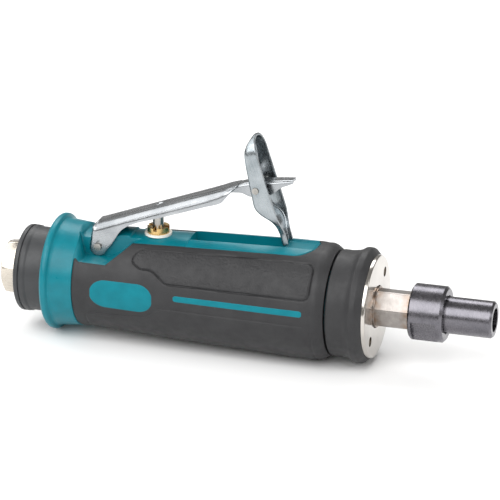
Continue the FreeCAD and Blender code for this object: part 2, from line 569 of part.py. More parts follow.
def make_motor():
    """Vane motor: eccentric cylinder between two end plates, slotted rotor and five blades."""
    rear_bore = cylinder("rear_outer", "rear_bearing_x", "cylinder_x - 1.5")
    node("rear_plate", cut(cylinder("cylinder_rad", "motor_x", "cylinder_x"), rear_bore,
                           cylinder("rear_bore + 0.3", "motor_x - 1", "cylinder_x + 1"),
                           *[cylinder("1.5", "motor_x - 1", "cylinder_x + 1", y=y, z="12.6") for y in ("-2.4", "2.4")],
                           cylinder("dowel_rad", "cylinder_x - 3", "cylinder_x + 1", z="-14")))
    slots = [box((f"cylinder_x + {9 * k + 6}", f"cylinder_x + {9 * k + 9}"), ("-3", "3"), ("-17", "-10"))
             for k in range(4)]
    node("motor_cylinder", cut(cylinder("cylinder_rad", "cylinder_x", "front_plate_x"),
                               cylinder("liner_rad", "cylinder_x - 1", "front_plate_x + 1", z="liner_offset"), *slots,
                               cylinder("dowel_rad", "cylinder_x - 1", "cylinder_x + 3", z="-14")))
    node("cylinder_dowel", cylinder("dowel_rad", "cylinder_x - 3", "cylinder_x + 3", z="-14"))
    node("front_plate", cut(cylinder("cylinder_rad", "front_plate_x", "front_bearing_x + front_width"),
                            cylinder("front_outer", "front_bearing_x", "front_bearing_x + front_width + 1"),
                            cylinder("front_bore + 0.3", "front_plate_x - 1", "front_bearing_x + 1")))
    spacer_x = "front_bearing_x + front_width"
    node("clamp_spacer", turned([(spacer_x, "front_outer - 2.6"), (spacer_x, "cylinder_rad"), ("hub_x", "cylinder_rad"),
                                 ("hub_x", "front_outer - 2.6")]))
    rotor_start = "cylinder_x + rotor_gap"
    rotor_end = "front_plate_x - rotor_gap"
    half_slot = "blade_thick / 2 + slot_play"
    cuts, blades = [], []
    for k in range(5):
        turn = FreeCAD.Rotation(V(1, 0, 0), 90 + 72 * k)
        slot = box(("cylinder_x - 1", "front_plate_x + 1"), (f"-({half_slot})", half_slot), ("slot_floor", "rotor_rad + 2"))
        blade = box((rotor_start, rotor_end), ("-blade_thick / 2", "blade_thick / 2"),
                    ("slot_floor + 0.1", "rotor_rad - 0.15"))
        for thing, group in ((slot, cuts), (blade, blades)):
            group.append(common(turned_about(thing, turn),
                                cylinder("rotor_rad + 1", "cylinder_x - 1", "front_plate_x + 1")))
    node("rotor", cut(cylinder("rotor_rad", rotor_start, rotor_end),
                      cylinder("rear_bore", "cylinder_x - 1", "front_plate_x + 1"), *cuts))
    group = DOC.addObject("Part::Compound", unique("Blades"))
    group.Links = blades
    node("rotor_blades", group)


def turned_about(thing, turn):
    """Turn a bound box about the tool's axis by moving its base with the rotation."""
    shell = DOC.addObject("Part::Compound", unique("Turned_box"))
    shell.Links = [thing]
    shell.Placement = FreeCAD.Placement(V(), turn)
    return shell


def make_spindle():
    """Spindle with its bearing seats, hexagon and threaded nose, and the nut on its rear end."""
    seat = "rear_bearing_x"
    mouth = fuse(cone("collet_tail_rad + 0.05", "collet_mouth_rad + 0.05", "tail_x", "mouth_x"),
                 cylinder("collet_tail_rad + 0.05", "tail_x - 6", "tail_x + 0.1"),
                 cylinder("collet_bore_rad + 0.3", "face_x - 8", "tail_x"))
    outline = [
        ("motor_x + 0.6", "0"), ("motor_x + 0.6", "rear_bore - 0.4"), (seat, "rear_bore - 0.4"), (seat, "rear_bore"),
        ("front_plate_x", "rear_bore"), ("front_plate_x", "front_bore"),
        ("front_bearing_x + front_width", "front_bore"), ("front_bearing_x + front_width", "front_bore + 2"),
        ("hub_x", "front_bore + 2"), ("hub_x", "neck_rad"), ("face_x + 0.6", "neck_rad"), ("face_x + 0.6", "6"),
        ("nut_x - 1", "6"), ("nut_x - 1", "nose_thread_rad - 0.8"), ("nut_x", "nose_thread_rad - 0.8"),
        ("nut_x + 0.4", "nose_thread_rad"), ("mouth_x - 0.6", "nose_thread_rad"), ("mouth_x", "nose_thread_rad - 0.5"),
        ("mouth_x", "0"),
    ]
    bar = common(hexagon("hex_flats", "face_x + 0.6", "nut_x - 0.15", 19),
                 turned([("face_x", "0"), ("face_x", "hex_flats / 2 + 0.85"), ("nut_x - 0.75", "hex_flats / 2 + 0.85"),
                         ("nut_x - 0.15", "hex_flats / 2 + 0.2"), ("nut_x - 0.15", "0")]))
    node("spindle", cut(fuse(turned(outline), bar), mouth))


def make_collet():
    """Collet with a slit tapered tail, its snap ring, and the nut that pulls it."""
    ring_x = "nut_face_x - nut_wall - 1.3"
    outline = [
        ("tail_x", "0"), ("tail_x", "collet_tail_rad"), ("mouth_x", "collet_mouth_rad"), ("mouth_x + 0.3", "nose_rad"),
        (ring_x, "nose_rad"), (ring_x, "nose_rad - 0.8"), (ring_x + " + 1.2", "nose_rad - 0.8"),
        (ring_x + " + 1.2", "nose_rad"), ("nose_x - 0.8", "nose_rad"), ("nose_x", "nose_rad - 0.8"), ("nose_x", "0"),
    ]
    slits = [turned_about(box(("tail_x - 1", "nut_face_x + 1"), ("-slit_width / 2", "slit_width / 2"),
                              ("3", "nose_rad + 1")), FreeCAD.Rotation(V(1, 0, 0), 20 + 120 * k)) for k in range(3)]
    node("collet", cut(turned(outline), cylinder("collet_bore_rad", "tail_x - 1", "nose_x + 1"), *slits))
    node("collet_snap_ring", turned([(ring_x + " + 0.05", "nose_rad - 0.75"), (ring_x + " + 0.05", "ring_rad"),
                                     (ring_x + " + 1.15", "ring_rad"), (ring_x + " + 1.15", "nose_rad - 0.75")]))
    cavity = "nut_face_x - nut_wall - 4.8"
    nut = turned([
        ("nut_x", "nose_thread_rad + thread_play"), ("nut_x", "nut_rad - 0.7"), ("nut_x + 0.7", "nut_rad"),
        ("nut_face_x - 1", "nut_rad"), ("nut_face_x", "nut_rad - 1"), ("nut_face_x", "nose_rad + nose_hole_play"),
        ("nut_face_x - nut_wall", "nose_rad + nose_hole_play"), ("nut_face_x - nut_wall", "nut_cavity_rad"),
        (cavity, "nut_cavity_rad"), (cavity, "nose_thread_rad + thread_play"),
    ])
    flats = []
    for side in (0, 180):
        flat = box(("nut_face_x - 2.4 - nut_flat_len", "nut_face_x - 2.4"), ("-15", "15"), ("nut_flats / 2", "15"))
        flats.append(turned_about(flat, FreeCAD.Rotation(V(1, 0, 0), 90 + number("nut_turned") + side)))
    node("collet_nut", cut(nut, *flats))


def make_valve():
    """Throttle valve: bushing and washer in the housing, seat, stem with poppet, and return spring."""
    stand = dict(axis="Z", x="valve_x")
    washer_top = "valve_seat_z + valve_washer_thick"
    head_top = washer_top + " + bushing_head"
    node("valve_washer", cut(cylinder("valve_washer_rad", "valve_seat_z", washer_top, **stand),
                             cylinder("bushing_shank_rad", "0", "30", **stand)))
    notches = [box((f"valve_x - {0.8 if k else 6}", f"valve_x + {0.8 if k else 6}"),
                   (f"-{6 if k else 0.8}", f"{6 if k else 0.8}"), (head_top + " - 1.1", "30")) for k in (0, 1)]
    node("valve_bushing", cut(fuse(cylinder("bushing_rad", washer_top, head_top, **stand),
                                   cylinder("bushing_shank_rad", "valve_seat_z - bushing_shank_len", washer_top,
                                            **stand)),
                              cylinder("stem_rad + run_play", "0", "30", **stand), *notches))
    node("valve_seat", cut(cylinder("chamber_rad", "seat_z", "seat_z + seat_thick", **stand),
                           cylinder("seat_hole_rad", "0", "30", **stand)))
    node("valve_stem", fuse(cylinder("stem_rad", "poppet_z - 0.1", "stem_top_z - 1", **stand),
                            cone("stem_rad", "stem_rad - 1.1", "stem_top_z - 1", "stem_top_z", **stand),
                            cylinder("stem_rad - 0.6", "poppet_z - 2.5", "poppet_z", **stand)))
    node("valve_poppet", cut(cylinder("poppet_rad", "poppet_z - 0.05", "seat_z - 0.05", **stand),
                             cylinder("stem_rad", "0", "30", **stand)))
    turns = [torus("poppet_rad - 0.7", "0.4", "valve_x", z=f"chamber_floor + 0.4 + (poppet_z - chamber_floor - 0.9)"
                   f" * {k} / 6", axis="Z") for k in range(7)]
    posts = [cylinder("0.3", "chamber_floor + 0.4", "poppet_z - 0.5", axis="Z", x="valve_x", y=side + "(poppet_rad - 0.7)")
             for side in ("", "-")]
    node("valve_spring", fuse(*turns, *posts))


def lever_space(thing):
    """Put a piece drawn along the lever, with its pin at the origin, in place."""
    thing.Placement = FreeCAD.Placement(V(), FreeCAD.Rotation(V(0, 1, 0), -number("lever_slope")))
    return bind(thing, Base_x="lever_pin_x", Base_z="lever_pin_z")


def make_lever():
    """Throttle lever: folded channel with two ears on the pin and a narrow tongue that carries the latch."""
    low = "lever_top - lever_flange"
    side = [
        ("-0.6", "lever_top"), ("lever_wing_end", "lever_top"), ("lever_wing_end - 0.4", "lever_top - 2.2"),
        ("lever_wing_end - 5", f"{low} - 0.6"), ("32", low), ("16.6", f"{low} + 0.35"), ("12.2", f"{low} - 1.1"),
        ("lever_ear_rad * 0.8", "-lever_ear_rad * 0.6"), ("0", "-lever_ear_rad"), ("-lever_ear_rad * 0.7", "-lever_ear_rad * 0.7"),
        ("-lever_ear_rad", "0.6"),
    ]
    outer = DOC.addObject("Part::Fillet", unique("Rounded"))
    shell = plate(side, "lever_half")
    DOC.recompute()
    outer.Base = shell
    outer.Edges = [(i + 1, number("lever_round"), number("lever_round")) for i, edge in enumerate(shell.Shape.Edges)
                   if all(abs(v.Z - number("lever_top")) < 1e-6 for v in edge.Vertexes)
                   and abs(edge.Vertexes[0].Y - edge.Vertexes[1].Y) < 1e-6]
    hollow = plate([("-9", "lever_top - lever_sheet"), ("90", "lever_top - lever_sheet"), ("90", "-9"), ("-9", "-9")],
                   "lever_half - lever_sheet")
    a, p = "latch_pin_u", "latch_pin_w"
    tongue = plate([
        (f"{a} - 14", "lever_top"), (f"{a} - 4", f"{p} + 3.2"), (f"{a} + 3", f"{p} + 2.4"),
        (f"{a} + tongue_reach", f"{p} - 0.9"), (f"{a} + tongue_reach", f"{p} - 1.7"), (f"{a} + 9.2", f"{p} - 2.7"),
        (f"{a} + 2", f"{p} - 3.1"), (f"{a} - 3", f"{p} - 3"), (f"{a} - 7.5", f"{p} - 0.2"), (f"{a} - 14", f"{p} + 0.3"),
    ], "tongue_half")
    inside = plate([
        (f"{a} - 15", "lever_top - 1"), (f"{a} - 4", f"{p} + 2.4"), (f"{a} + 3", f"{p} + 1.6"),
        (f"{a} + tongue_reach - 1", f"{p} - 1.75"), (f"{a} + tongue_reach - 1", f"{p} - 9"), (f"{a} - 15", f"{p} - 9"),
    ], "tongue_half - 1")
    pin_hole = cylinder("lever_pin_rad + pin_play", "-12", "12", axis="Y")
    latch_hole = cylinder("latch_pin_rad", "-12", "12", axis="Y", x=a, z=p)
    lever = cut(fuse(cut(outer, hollow), cut(tongue, inside)), pin_hole, latch_hole)
    node("throttle_lever", lever_space(lever))
    node("latch_pin", cylinder("latch_pin_rad", "-latch_half - 0.3", "latch_half + 0.3", axis="Y",
                               x="latch_pin_x", z="latch_pin_z"))
    coils = [torus("latch_pin_rad + 0.23", "0.19", a, y=f"{0.6 * k:.1f}", z=p, axis="Y") for k in (-2, -1, 0, 1, 2)]
    tie = box((f"{a} - 0.1", f"{a} + 0.1"), ("-1.2", "1.2"), (f"{p} + latch_pin_rad + 0.1", f"{p} + latch_pin_rad + 0.35"))
    node("latch_spring", lever_space(fuse(*coils, tie)))
    pin = cylinder("lever_pin_rad", "-lever_pin_half", "lever_pin_half", axis="Y", x="lever_pin_x", z="lever_pin_z")
    node("lever_pin", pin)


def make_latch():
    """Safety latch: a deep narrow dish on the latch pin, with a slot for the lever's tongue."""
    back = "-latch_back"

    def side_outline(inset, front):
        """Side view of the latch, with its back moved forward by the inset."""
        rear = [("2.2", "latch_up - 0.9"), ("0.5", "latch_up - 3.4"), ("-0.9", "12"), ("-1.9", "4.4"), (back, "-1.75"),
                (back, "-8.6"), ("-1.6", "-10.2"), ("1.85", "-13.7"), ("3.2", "-16.5"), ("3.2", "-19.6"),
                ("latch_tip_back", "-latch_down")]
        moved = [(f"{n} + {inset}", z) for n, z in rear]
        return [(front, "latch_up")] + moved + [("3.9" if inset == "0" else front, "-latch_down"),
                                                (front, "-latch_down + 5.5")]

    def front_outline(inset):
        """Front view of the latch: round top, straight sides, narrowing to the tip."""
        half = f"latch_half - {inset}"
        low = plate([(f"-({half})", "latch_up - latch_half"), (f"-({half})", "-13"),
                     (f"-latch_tip_half - 1.4 + {inset}", "-18"), (f"-latch_tip_half - 0.4 + {inset}", "-20.5"),
                     (f"-latch_tip_half + {inset}", "-latch_down"), (f"latch_tip_half - {inset}", "-latch_down"),
                     (f"latch_tip_half + 0.4 - {inset}", "-20.5"), (f"latch_tip_half + 1.4 - {inset}", "-18"),
                     (half, "-13"), (half, "latch_up - latch_half")],
                    "20", "YZ_Plane")
        return fuse(low, cylinder(half, "-20", "20", z="latch_up - latch_half"))

    outside = common(plate(side_outline("0", "latch_front"), "latch_half"), front_outline("0"))
    inside = common(plate(side_outline("latch_sheet", "latch_front + 4"), "latch_half"), front_outline("latch_sheet"))
    slot = box(("-9", "0.5"), ("-latch_slot_half", "latch_slot_half"), ("-latch_slot_down", "latch_slot_up"))
    hole = cylinder("latch_pin_rad + pin_play", "-12", "12", axis="Y")
    latch = cut(outside, inside, slot, hole)
    latch.Placement = FreeCAD.Placement(V(), FreeCAD.Rotation(V(0, 1, 0), -number("latch_tilt")))
    node("safety_latch", bind(latch, Base_x="latch_pin_x", Base_z="latch_pin_z"))


def check_and_write():
    """Refuse a failed or empty object, then write every sub-part."""
    DOC.recompute()
    for thing in DOC.Objects:
        if "Invalid" in thing.State or "Error" in thing.State:
            raise RuntimeError(f"{thing.Name} ({thing.Label}) failed: {thing.State}")
    os.makedirs("parts", exist_ok=True)
    for thing in NODES:
        if thing.Shape.isNull() or not thing.Shape.isValid() or not thing.Shape.Solids:
            raise RuntimeError(f"{thing.Label} has no valid shape")
    for thing in NODES:
        thing.Shape.exportStep(f"parts/{thing.Label}.step")
        print(thing.Label, len(thing.Shape.Solids), round(thing.Shape.Volume, 1))


make_housing()
make_grip()
make_exhaust_cap()
make_inlet()
make_front()
make_motor()
make_bearing("rear", "rear_bearing_x", "rear_bore", "rear_outer", "rear_width", "rear_ball", 8)
make_bearing("front", "front_bearing_x", "front_bore", "front_outer", "front_width", "front_ball", 9)
make_spindle()
make_collet()
make_valve()
make_lever()
make_latch()
check_and_write()
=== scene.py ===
"""Looks of a straight air die grinder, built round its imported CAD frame.

The tool's axis is X, from the air inlet to the collet nose, and +Z is the lever side. Pieces are drawn in
millimetres and turned into metres when their mesh is made. Stations and centres come from the frame.
"""

import math

import bmesh
import bpy
import numpy as np
from mathutils import Euler, Matrix, Vector, noise


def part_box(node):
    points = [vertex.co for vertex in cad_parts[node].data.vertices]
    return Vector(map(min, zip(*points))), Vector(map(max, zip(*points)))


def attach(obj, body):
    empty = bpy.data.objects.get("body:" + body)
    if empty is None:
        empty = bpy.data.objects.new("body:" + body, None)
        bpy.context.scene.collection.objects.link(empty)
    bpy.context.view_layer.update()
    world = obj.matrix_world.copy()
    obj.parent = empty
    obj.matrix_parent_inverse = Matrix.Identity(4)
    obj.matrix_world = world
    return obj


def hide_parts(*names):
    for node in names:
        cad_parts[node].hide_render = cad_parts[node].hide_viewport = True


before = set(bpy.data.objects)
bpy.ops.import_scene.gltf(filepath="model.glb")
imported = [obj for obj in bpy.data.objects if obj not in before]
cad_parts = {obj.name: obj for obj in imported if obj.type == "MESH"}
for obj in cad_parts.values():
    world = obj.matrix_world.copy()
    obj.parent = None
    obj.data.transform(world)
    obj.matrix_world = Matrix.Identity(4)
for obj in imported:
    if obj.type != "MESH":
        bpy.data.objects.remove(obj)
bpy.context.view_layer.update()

MM = 0.001
TAU = 2 * math.pi


# ---------------------------------------------------------------- places, from the frame

def span(node):
    """Lowest and highest corner of a CAD node, in millimetres."""
    low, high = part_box(node)
    return low / MM, high / MM


def centre(node):
    """Middle of a CAD node's box, in millimetres."""
    low, high = span(node)
    return (low + high) / 2


HEX_END_X = span("inlet_washer")[0].x
CAP_X, FLANGE_X = span("exhaust_cap")[0].x, span("exhaust_cap")[1].x
CAP_RIM = span("exhaust_cap")[1].z
FLANGE_LEN = 3.4
SLEEVE_X = FLANGE_X + FLANGE_LEN
GRIP_X, GRIP_END_X = span("grip_sleeve")[0].x, span("grip_sleeve")[1].x
COLLAR_X, RING_X = span("front_collar")[0].x, span("front_collar")[1].x
LIP_RAD = span("front_collar")[1].z
FACE_X = span("lock_ring")[1].x
RING_RAD = span("lock_ring")[1].z
NUT_X = span("collet_nut")[0].x
FLANGE_RAD = 23.75
VALVE_X = centre("valve_stem").x
WASHER_Z = span("valve_washer")[0].z
LEVER_PIN = centre("lever_pin")
LATCH_PIN = centre("latch_pin")
TIP_Z = span("safety_latch")[0].z
CORE_RAD = 18.9

# the long opening of the grip
OPENING_HALF = 9.1
OPENING_ROUND_X = GRIP_END_X - 16.2  # where its round front end starts

# the pocket for the lever's ears: a rib between two shelves
POCKET_X = GRIP_X - 2.4              # its rear end on top
SHELF_X = LEVER_PIN.x + 6.3          # end of the shelf beside the ears
SHELF_END_X = SHELF_X + 10.0         # end of the ramp from that shelf
SHELF_Z = 11.2
SHELF_RISE = 8.4
RIB_HALF = 5.7
POCKET_ROUND = 2.0                   # blend between the shelf and the skin above it

# the channel that the latch's tip swings back in, and the ledge it rests over
CHANNEL_HALF = 4.7
CHANNEL_END_X = LATCH_PIN.x + 11.1
CHANNEL_X = CHANNEL_END_X - 39.0
CHANNEL_FLOOR = 16.9
LEDGE_GAP = 0.6


# ---------------------------------------------------------------- shapes

def smoothstep(start, end, value):
    """0 before start, 1 after end, smooth between."""
    t = np.clip((value - start) / (end - start), 0, 1)
    return t * t * (3 - 2 * t)


def mix(a, b, share):
    """Between a and b."""
    return a + (b - a) * share


def curve(*points):
    """A smooth function through (x, value) points."""
    xs, ys = np.array(points, float).T
    slopes = np.gradient(ys, xs)

    def at(x):
        """The value at x, held level beyond both ends."""
        x = np.clip(np.asarray(x, float), xs[0], xs[-1])
        i = np.clip(np.searchsorted(xs, x) - 1, 0, len(xs) - 2)
        run = xs[i + 1] - xs[i]
        t = (x - xs[i]) / run
        return (ys[i] * (2 * t**3 - 3 * t**2 + 1) + slopes[i] * run * (t**3 - 2 * t**2 + t)
                + ys[i + 1] * (3 * t**2 - 2 * t**3) + slopes[i + 1] * run * (t**3 - t**2))
    return at


def smooth_min(a, b, blend):
    """The smaller of two values, rounded over a range."""
    share = np.clip(0.5 + 0.5 * (b - a) / blend, 0, 1)
    return mix(b, a, share) - blend * share * (1 - share)


def rounded(corners, closed=True, steps=5):
    """An outline of (a, b, radius) corners, each turned into an arc; radius 0 keeps it sharp."""
    out = []
    total = len(corners)
    for i, corner in enumerate(corners):
        here = Vector(corner[:2])
        radius = corner[2] if len(corner) > 2 else 0
        if radius <= 0 or (not closed and i in (0, total - 1)):
            out.append((here.x, here.y))
            continue
        back = Vector(corners[i - 1][:2]) - here
        ahead = Vector(corners[(i + 1) % total][:2]) - here
        half_turn = back.angle(ahead) / 2
        if half_turn > math.radians(89.9):
            out.append((here.x, here.y))
            continue
        reach = min(radius / math.tan(half_turn), 0.49 * back.length, 0.49 * ahead.length)
        radius = reach * math.tan(half_turn)
        middle = here + (back.normalized() + ahead.normalized()).normalized() * radius / math.sin(half_turn)
        arms = [here + arm.normalized() * reach - middle for arm in (back, ahead)]
        first = math.atan2(arms[0].y, arms[0].x)
        sweep = (math.atan2(arms[1].y, arms[1].x) - first + math.pi) % TAU - math.pi
        for k in range(steps + 1):
            angle = first + sweep * k / steps
            out.append((middle.x + radius * math.cos(angle), middle.y + radius * math.sin(angle)))
    return out


def outline_distance(px, py, corners):
    """Signed distance of points to a closed outline, negative inside."""
    nearest = np.full(px.shape, 1e9)
    inside = np.zeros(px.shape, bool)
    corners = np.array(corners, float)
    for (ax, ay), (bx, by) in zip(corners, np.roll(corners, -1, axis=0)):
        ex, ey = bx - ax, by - ay
        if abs(ex) + abs(ey) < 1e-9:
            continue
        t = np.clip(((px - ax) * ex + (py - ay) * ey) / (ex * ex + ey * ey), 0, 1)
        nearest = np.minimum(nearest, np.hypot(px - ax - t * ex, py - ay - t * ey))
        if ay != by:
            inside ^= ((ay > py) != (by > py)) & (px < ex * (py - ay) / (by - ay) + ax)
    return np.where(inside, -nearest, nearest)


def make(name, points, faces, material=None, body=None, replaces=(), slot=None, sharp=32.0, weld=0.002):
    """A mesh object from points in millimetres, welded, with normals outward and sharp edges marked."""
    mesh = bpy.data.meshes.new(name)
    mesh.from_pydata([tuple(c * MM for c in p) for p in points], [], faces)
    obj = bpy.data.objects.new(name, mesh)
    bpy.context.scene.collection.objects.link(obj)
    tidy(obj, sharp, weld)
    if material:
        mesh.materials.append(material)
    if body:
        settle(obj, body, replaces)
    return obj


def tidy(obj, sharp=32.0, weld=0.002):
    """Weld a mesh, point its faces outward and mark the edges sharper than an angle."""
    bm = bmesh.new()
    bm.from_mesh(obj.data)
    bmesh.ops.remove_doubles(bm, verts=bm.verts, dist=weld * MM)
    bmesh.ops.dissolve_degenerate(bm, edges=bm.edges, dist=weld * MM / 4)
    bmesh.ops.recalc_face_normals(bm, faces=bm.faces)
    for face in bm.faces:
        face.smooth = True
    for edge in bm.edges:
        edge.smooth = len(edge.link_faces) != 2 or edge.calc_face_angle() < math.radians(sharp)
    bm.to_mesh(obj.data)
    bm.free()


def settle(obj, body, replaces=()):
    """Tell the frame what a finished piece is."""
    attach(obj, body)
    if replaces:
        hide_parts(*replaces)
    return obj


def bake(obj, sharp=32.0):
    """Keep the mesh that the modifiers make."""
    made = bpy.data.meshes.new_from_object(obj.evaluated_get(bpy.context.evaluated_depsgraph_get()))
    obj.modifiers.clear()
    obj.data = made
    tidy(obj, sharp, 0.0005)
    return obj


def carve(obj, *cutters, operation="DIFFERENCE", sharp=32.0):
    """Cut or join solids, which are used up."""
    for cutter in cutters:
        change = obj.modifiers.new("carve", "BOOLEAN")
        change.operation = operation
        change.solver = "EXACT"
        change.object = cutter
    bake(obj, sharp)
    for cutter in cutters:
        bpy.data.objects.remove(cutter)
    return obj


def soften(obj, width, angle=32.0, segments=2):
    """Round the sharp edges of a solid a little."""
    bevel = obj.modifiers.new("edges", "BEVEL")
    bevel.width = width * MM
    bevel.segments = segments
    bevel.limit_method = "ANGLE"
    bevel.angle_limit = math.radians(angle)
    bevel.harden_normals = False
    return bake(obj, 50.0)


def grid_faces(rows, columns, wrap_rows=False, wrap_columns=False):
    """Quads between a grid's neighbouring rows and columns."""
    faces = []
    for i in range(rows if wrap_rows else rows - 1):
        for j in range(columns if wrap_columns else columns - 1):
            i2, j2 = (i + 1) % rows, (j + 1) % columns
            faces.append((i * columns + j, i * columns + j2, i2 * columns + j2, i2 * columns + j))
    return faces


def thick_faces(rows, columns, sides=None, closed_rows=None):
    """Faces of a sheet made of two equal grids, outer then inner, closed along its sides and both ends."""
    total = rows * columns
    faces = grid_faces(rows, columns)
    faces += [tuple(total + k for k in reversed(face)) for face in faces]
    edges = [(i * columns + j, (i + 1) * columns + j)
             for i in range(closed_rows or rows - 1) for j in sides or (0, columns - 1)]
    edges += [(i * columns + j, i * columns + j + 1) for j in range(columns - 1) for i in (0, rows - 1)]
    return faces + [(a, b, b + total, a + total) for a, b in edges]


def spin(name, outline, axis="X", at=(0, 0, 0), steps=160, **facts):
    """Sweep a closed outline of (along, radius) points round an axis through a point."""
    order = {"X": (0, 1, 2), "Y": (1, 2, 0), "Z": (2, 0, 1)}[axis]
    points = []
    for k in range(steps):
        angle = TAU * k / steps
        for a, r in outline:
            p = [0, 0, 0]
            p[order[0]] = a + at[order[0]]
            p[order[1]] = r * math.cos(angle) + at[order[1]]
            p[order[2]] = r * math.sin(angle) + at[order[2]]
            points.append(p)
    return make(name, points, grid_faces(steps, len(outline), True, True), **facts)


def block(name, outline, half, axis="Y", at=0.0, **facts):
    """An outline thickened both ways along an axis; its points lie in the other two axes, in order."""
    def place(a, b, c):
        """A point from its two outline coordinates and its place along the axis."""
        return {"X": (c, a, b), "Y": (a, c, b), "Z": (a, b, c)}[axis]
    total = len(outline)
    points = [place(a, b, at + side * half) for side in (-1, 1) for a, b in outline]
    faces = [tuple(range(total)), tuple(range(2 * total - 1, total - 1, -1))]
    faces += [(i, i + total, (i + 1) % total + total, (i + 1) % total) for i in range(total)]
    return make(name, points, faces, **facts)


def shift(x, y, z):
    """A move in millimetres, as a matrix for a mesh in metres."""
    return Matrix.Translation(Vector((x, y, z)) * MM)


def rod(name, radius, start, end, axis, at=(0, 0, 0), steps=64, **facts):
    """A plain round cutter or bar."""
    return spin(name, [(start, 0), (start, radius), (end, radius), (end, 0)], axis, at, steps, **facts)


# ---------------------------------------------------------------- materials

class Finish:
    """A node material: a Principled shader and short ways to add the textures that feed it."""

    def __init__(self, name, colour, **sockets):
        self.material = bpy.data.materials.new(name)
        self.material.use_nodes = True
        self.nodes = self.material.node_tree.nodes
        self.links = self.material.node_tree.links
        self.shader = self.nodes["Principled BSDF"]
        self.shader.inputs["Base Color"].default_value = (*colour, 1)
        for key, value in sockets.items():
            self.shader.inputs[key.replace("_", " ")].default_value = value
        self.place = self.nodes.new("ShaderNodeTexCoord").outputs["Object"]

    def noise(self, size, detail=2.0, rough=0.5, stretch=(1, 1, 1), turned=(0, 0, 0)):
        """Noise whose features are `size` millimetres, longer along an axis whose stretch is above 1."""
        mapping = self.nodes.new("ShaderNodeMapping")
        mapping.vector_type = "TEXTURE"
        mapping.inputs["Rotation"].default_value = Euler([math.radians(t) for t in turned])
        mapping.inputs["Scale"].default_value = Vector(stretch) * size * MM
        self.links.new(self.place, mapping.inputs["Vector"])
        texture = self.nodes.new("ShaderNodeTexNoise")
        texture.inputs["Scale"].default_value = 1.0
        texture.inputs["Detail"].default_value = detail
        texture.inputs["Roughness"].default_value = rough
        self.links.new(mapping.outputs["Vector"], texture.inputs["Vector"])
        return texture.outputs["Fac"]

    def ramp(self, source, *stops):
        """A colour for each value of a source; a stop is (place, colour or grey)."""
        node = self.nodes.new("ShaderNodeValToRGB")
        band = node.color_ramp
        while len(band.elements) < len(stops):
            band.elements.new(0.5)
        for element, (place, colour) in zip(band.elements, stops):
            element.position = place
            element.color = (*colour, 1) if isinstance(colour, tuple) else (colour, colour, colour, 1)
        self.links.new(source, node.inputs["Fac"])
        return node.outputs["Color"]

    def blend(self, factor, a, b, mode="MIX"):
        """Two colours, mixed by a factor."""
        node = self.nodes.new("ShaderNodeMix")
        node.data_type = "RGBA"
        node.blend_type = mode
        for source, target in ((factor, node.inputs["Factor"]), (a, node.inputs["A"]), (b, node.inputs["B"])):
            self.feed(source, target)
        return node.outputs["Result"]

    def feed(self, source, target):
        """Link a socket, or set a plain value."""
        if isinstance(source, bpy.types.NodeSocket):
            self.links.new(source, target)
        elif isinstance(source, tuple):
            target.default_value = (*source, 1)
        else:
            target.default_value = source

    def along(self, axis, start, end):
        """0 to 1 along an axis between two places in millimetres."""
        split = self.nodes.new("ShaderNodeSeparateXYZ")
        self.links.new(self.place, split.inputs["Vector"])
        node = self.nodes.new("ShaderNodeMapRange")
        node.inputs["From Min"].default_value = start * MM
        node.inputs["From Max"].default_value = end * MM
        self.links.new(split.outputs[axis], node.inputs["Value"])
        return node.outputs["Result"]

    def colour(self, source):
        """Feed the base colour."""
        self.feed(source, self.shader.inputs["Base Color"])
        return self

    def roughness(self, source):
        """Feed the roughness."""
        self.feed(source, self.shader.inputs["Roughness"])
        return self

    def bump(self, *layers):
        """Bumps of (height, depth in millimetres)."""
        normal = None
        for height, depth in layers:
            node = self.nodes.new("ShaderNodeBump")
            node.inputs["Distance"].default_value = depth * MM
            node.inputs["Strength"].default_value = 1.0
            self.links.new(height, node.inputs["Height"])
            if normal:
                self.links.new(normal, node.inputs["Normal"])
            normal = node.outputs["Normal"]
        self.links.new(normal, self.shader.inputs["Normal"])
        return self


def teal_composite():
    """Glossy moulded teal with a faint mottle, fine scuffs and a soft orange-peel surface."""
    f = Finish("teal_composite", (0.001, 0.14, 0.18), Roughness=0.32, Specular_IOR_Level=0.3)
    mottle = f.ramp(f.noise(7, 3), (0.35, (0.0, 0.145, 0.185)), (0.7, (0.0005, 0.175, 0.22)))
    specks = f.ramp(f.noise(0.9, 1), (0.72, 0.0), (0.80, 0.3))
    f.colour(f.blend(specks, mottle, (0.03, 0.24, 0.29)))
    f.roughness(f.ramp(f.noise(2.5, 5, 0.65, (3, 1, 1)), (0.3, 0.27), (0.75, 0.42)))
    f.bump((f.noise(1.6, 3), 0.03), (f.noise(0.35, 2), 0.008))
    return f.material


def grip_rubber(name, grain):
    """Charcoal rubber with a moulded grain of some depth, dusty lighter patches and a satin sheen."""
    f = Finish(name, (0.028, 0.028, 0.03), Roughness=0.55, Specular_IOR_Level=0.4)
    dust = f.ramp(f.noise(9, 4), (0.3, (0.018, 0.018, 0.0195)), (0.75, (0.026, 0.026, 0.0275)))
    fleck = f.ramp(f.noise(0.45, 1), (0.70, 0.0), (0.82, 0.25))
    f.colour(f.blend(fleck, dust, (0.11, 0.11, 0.115)))
    f.roughness(f.ramp(f.noise(3, 4), (0.3, 0.46), (0.7, 0.6)))
    f.bump((f.noise(0.75, 3, 0.6), grain), (f.noise(0.16, 2), 0.012))
    return f.material


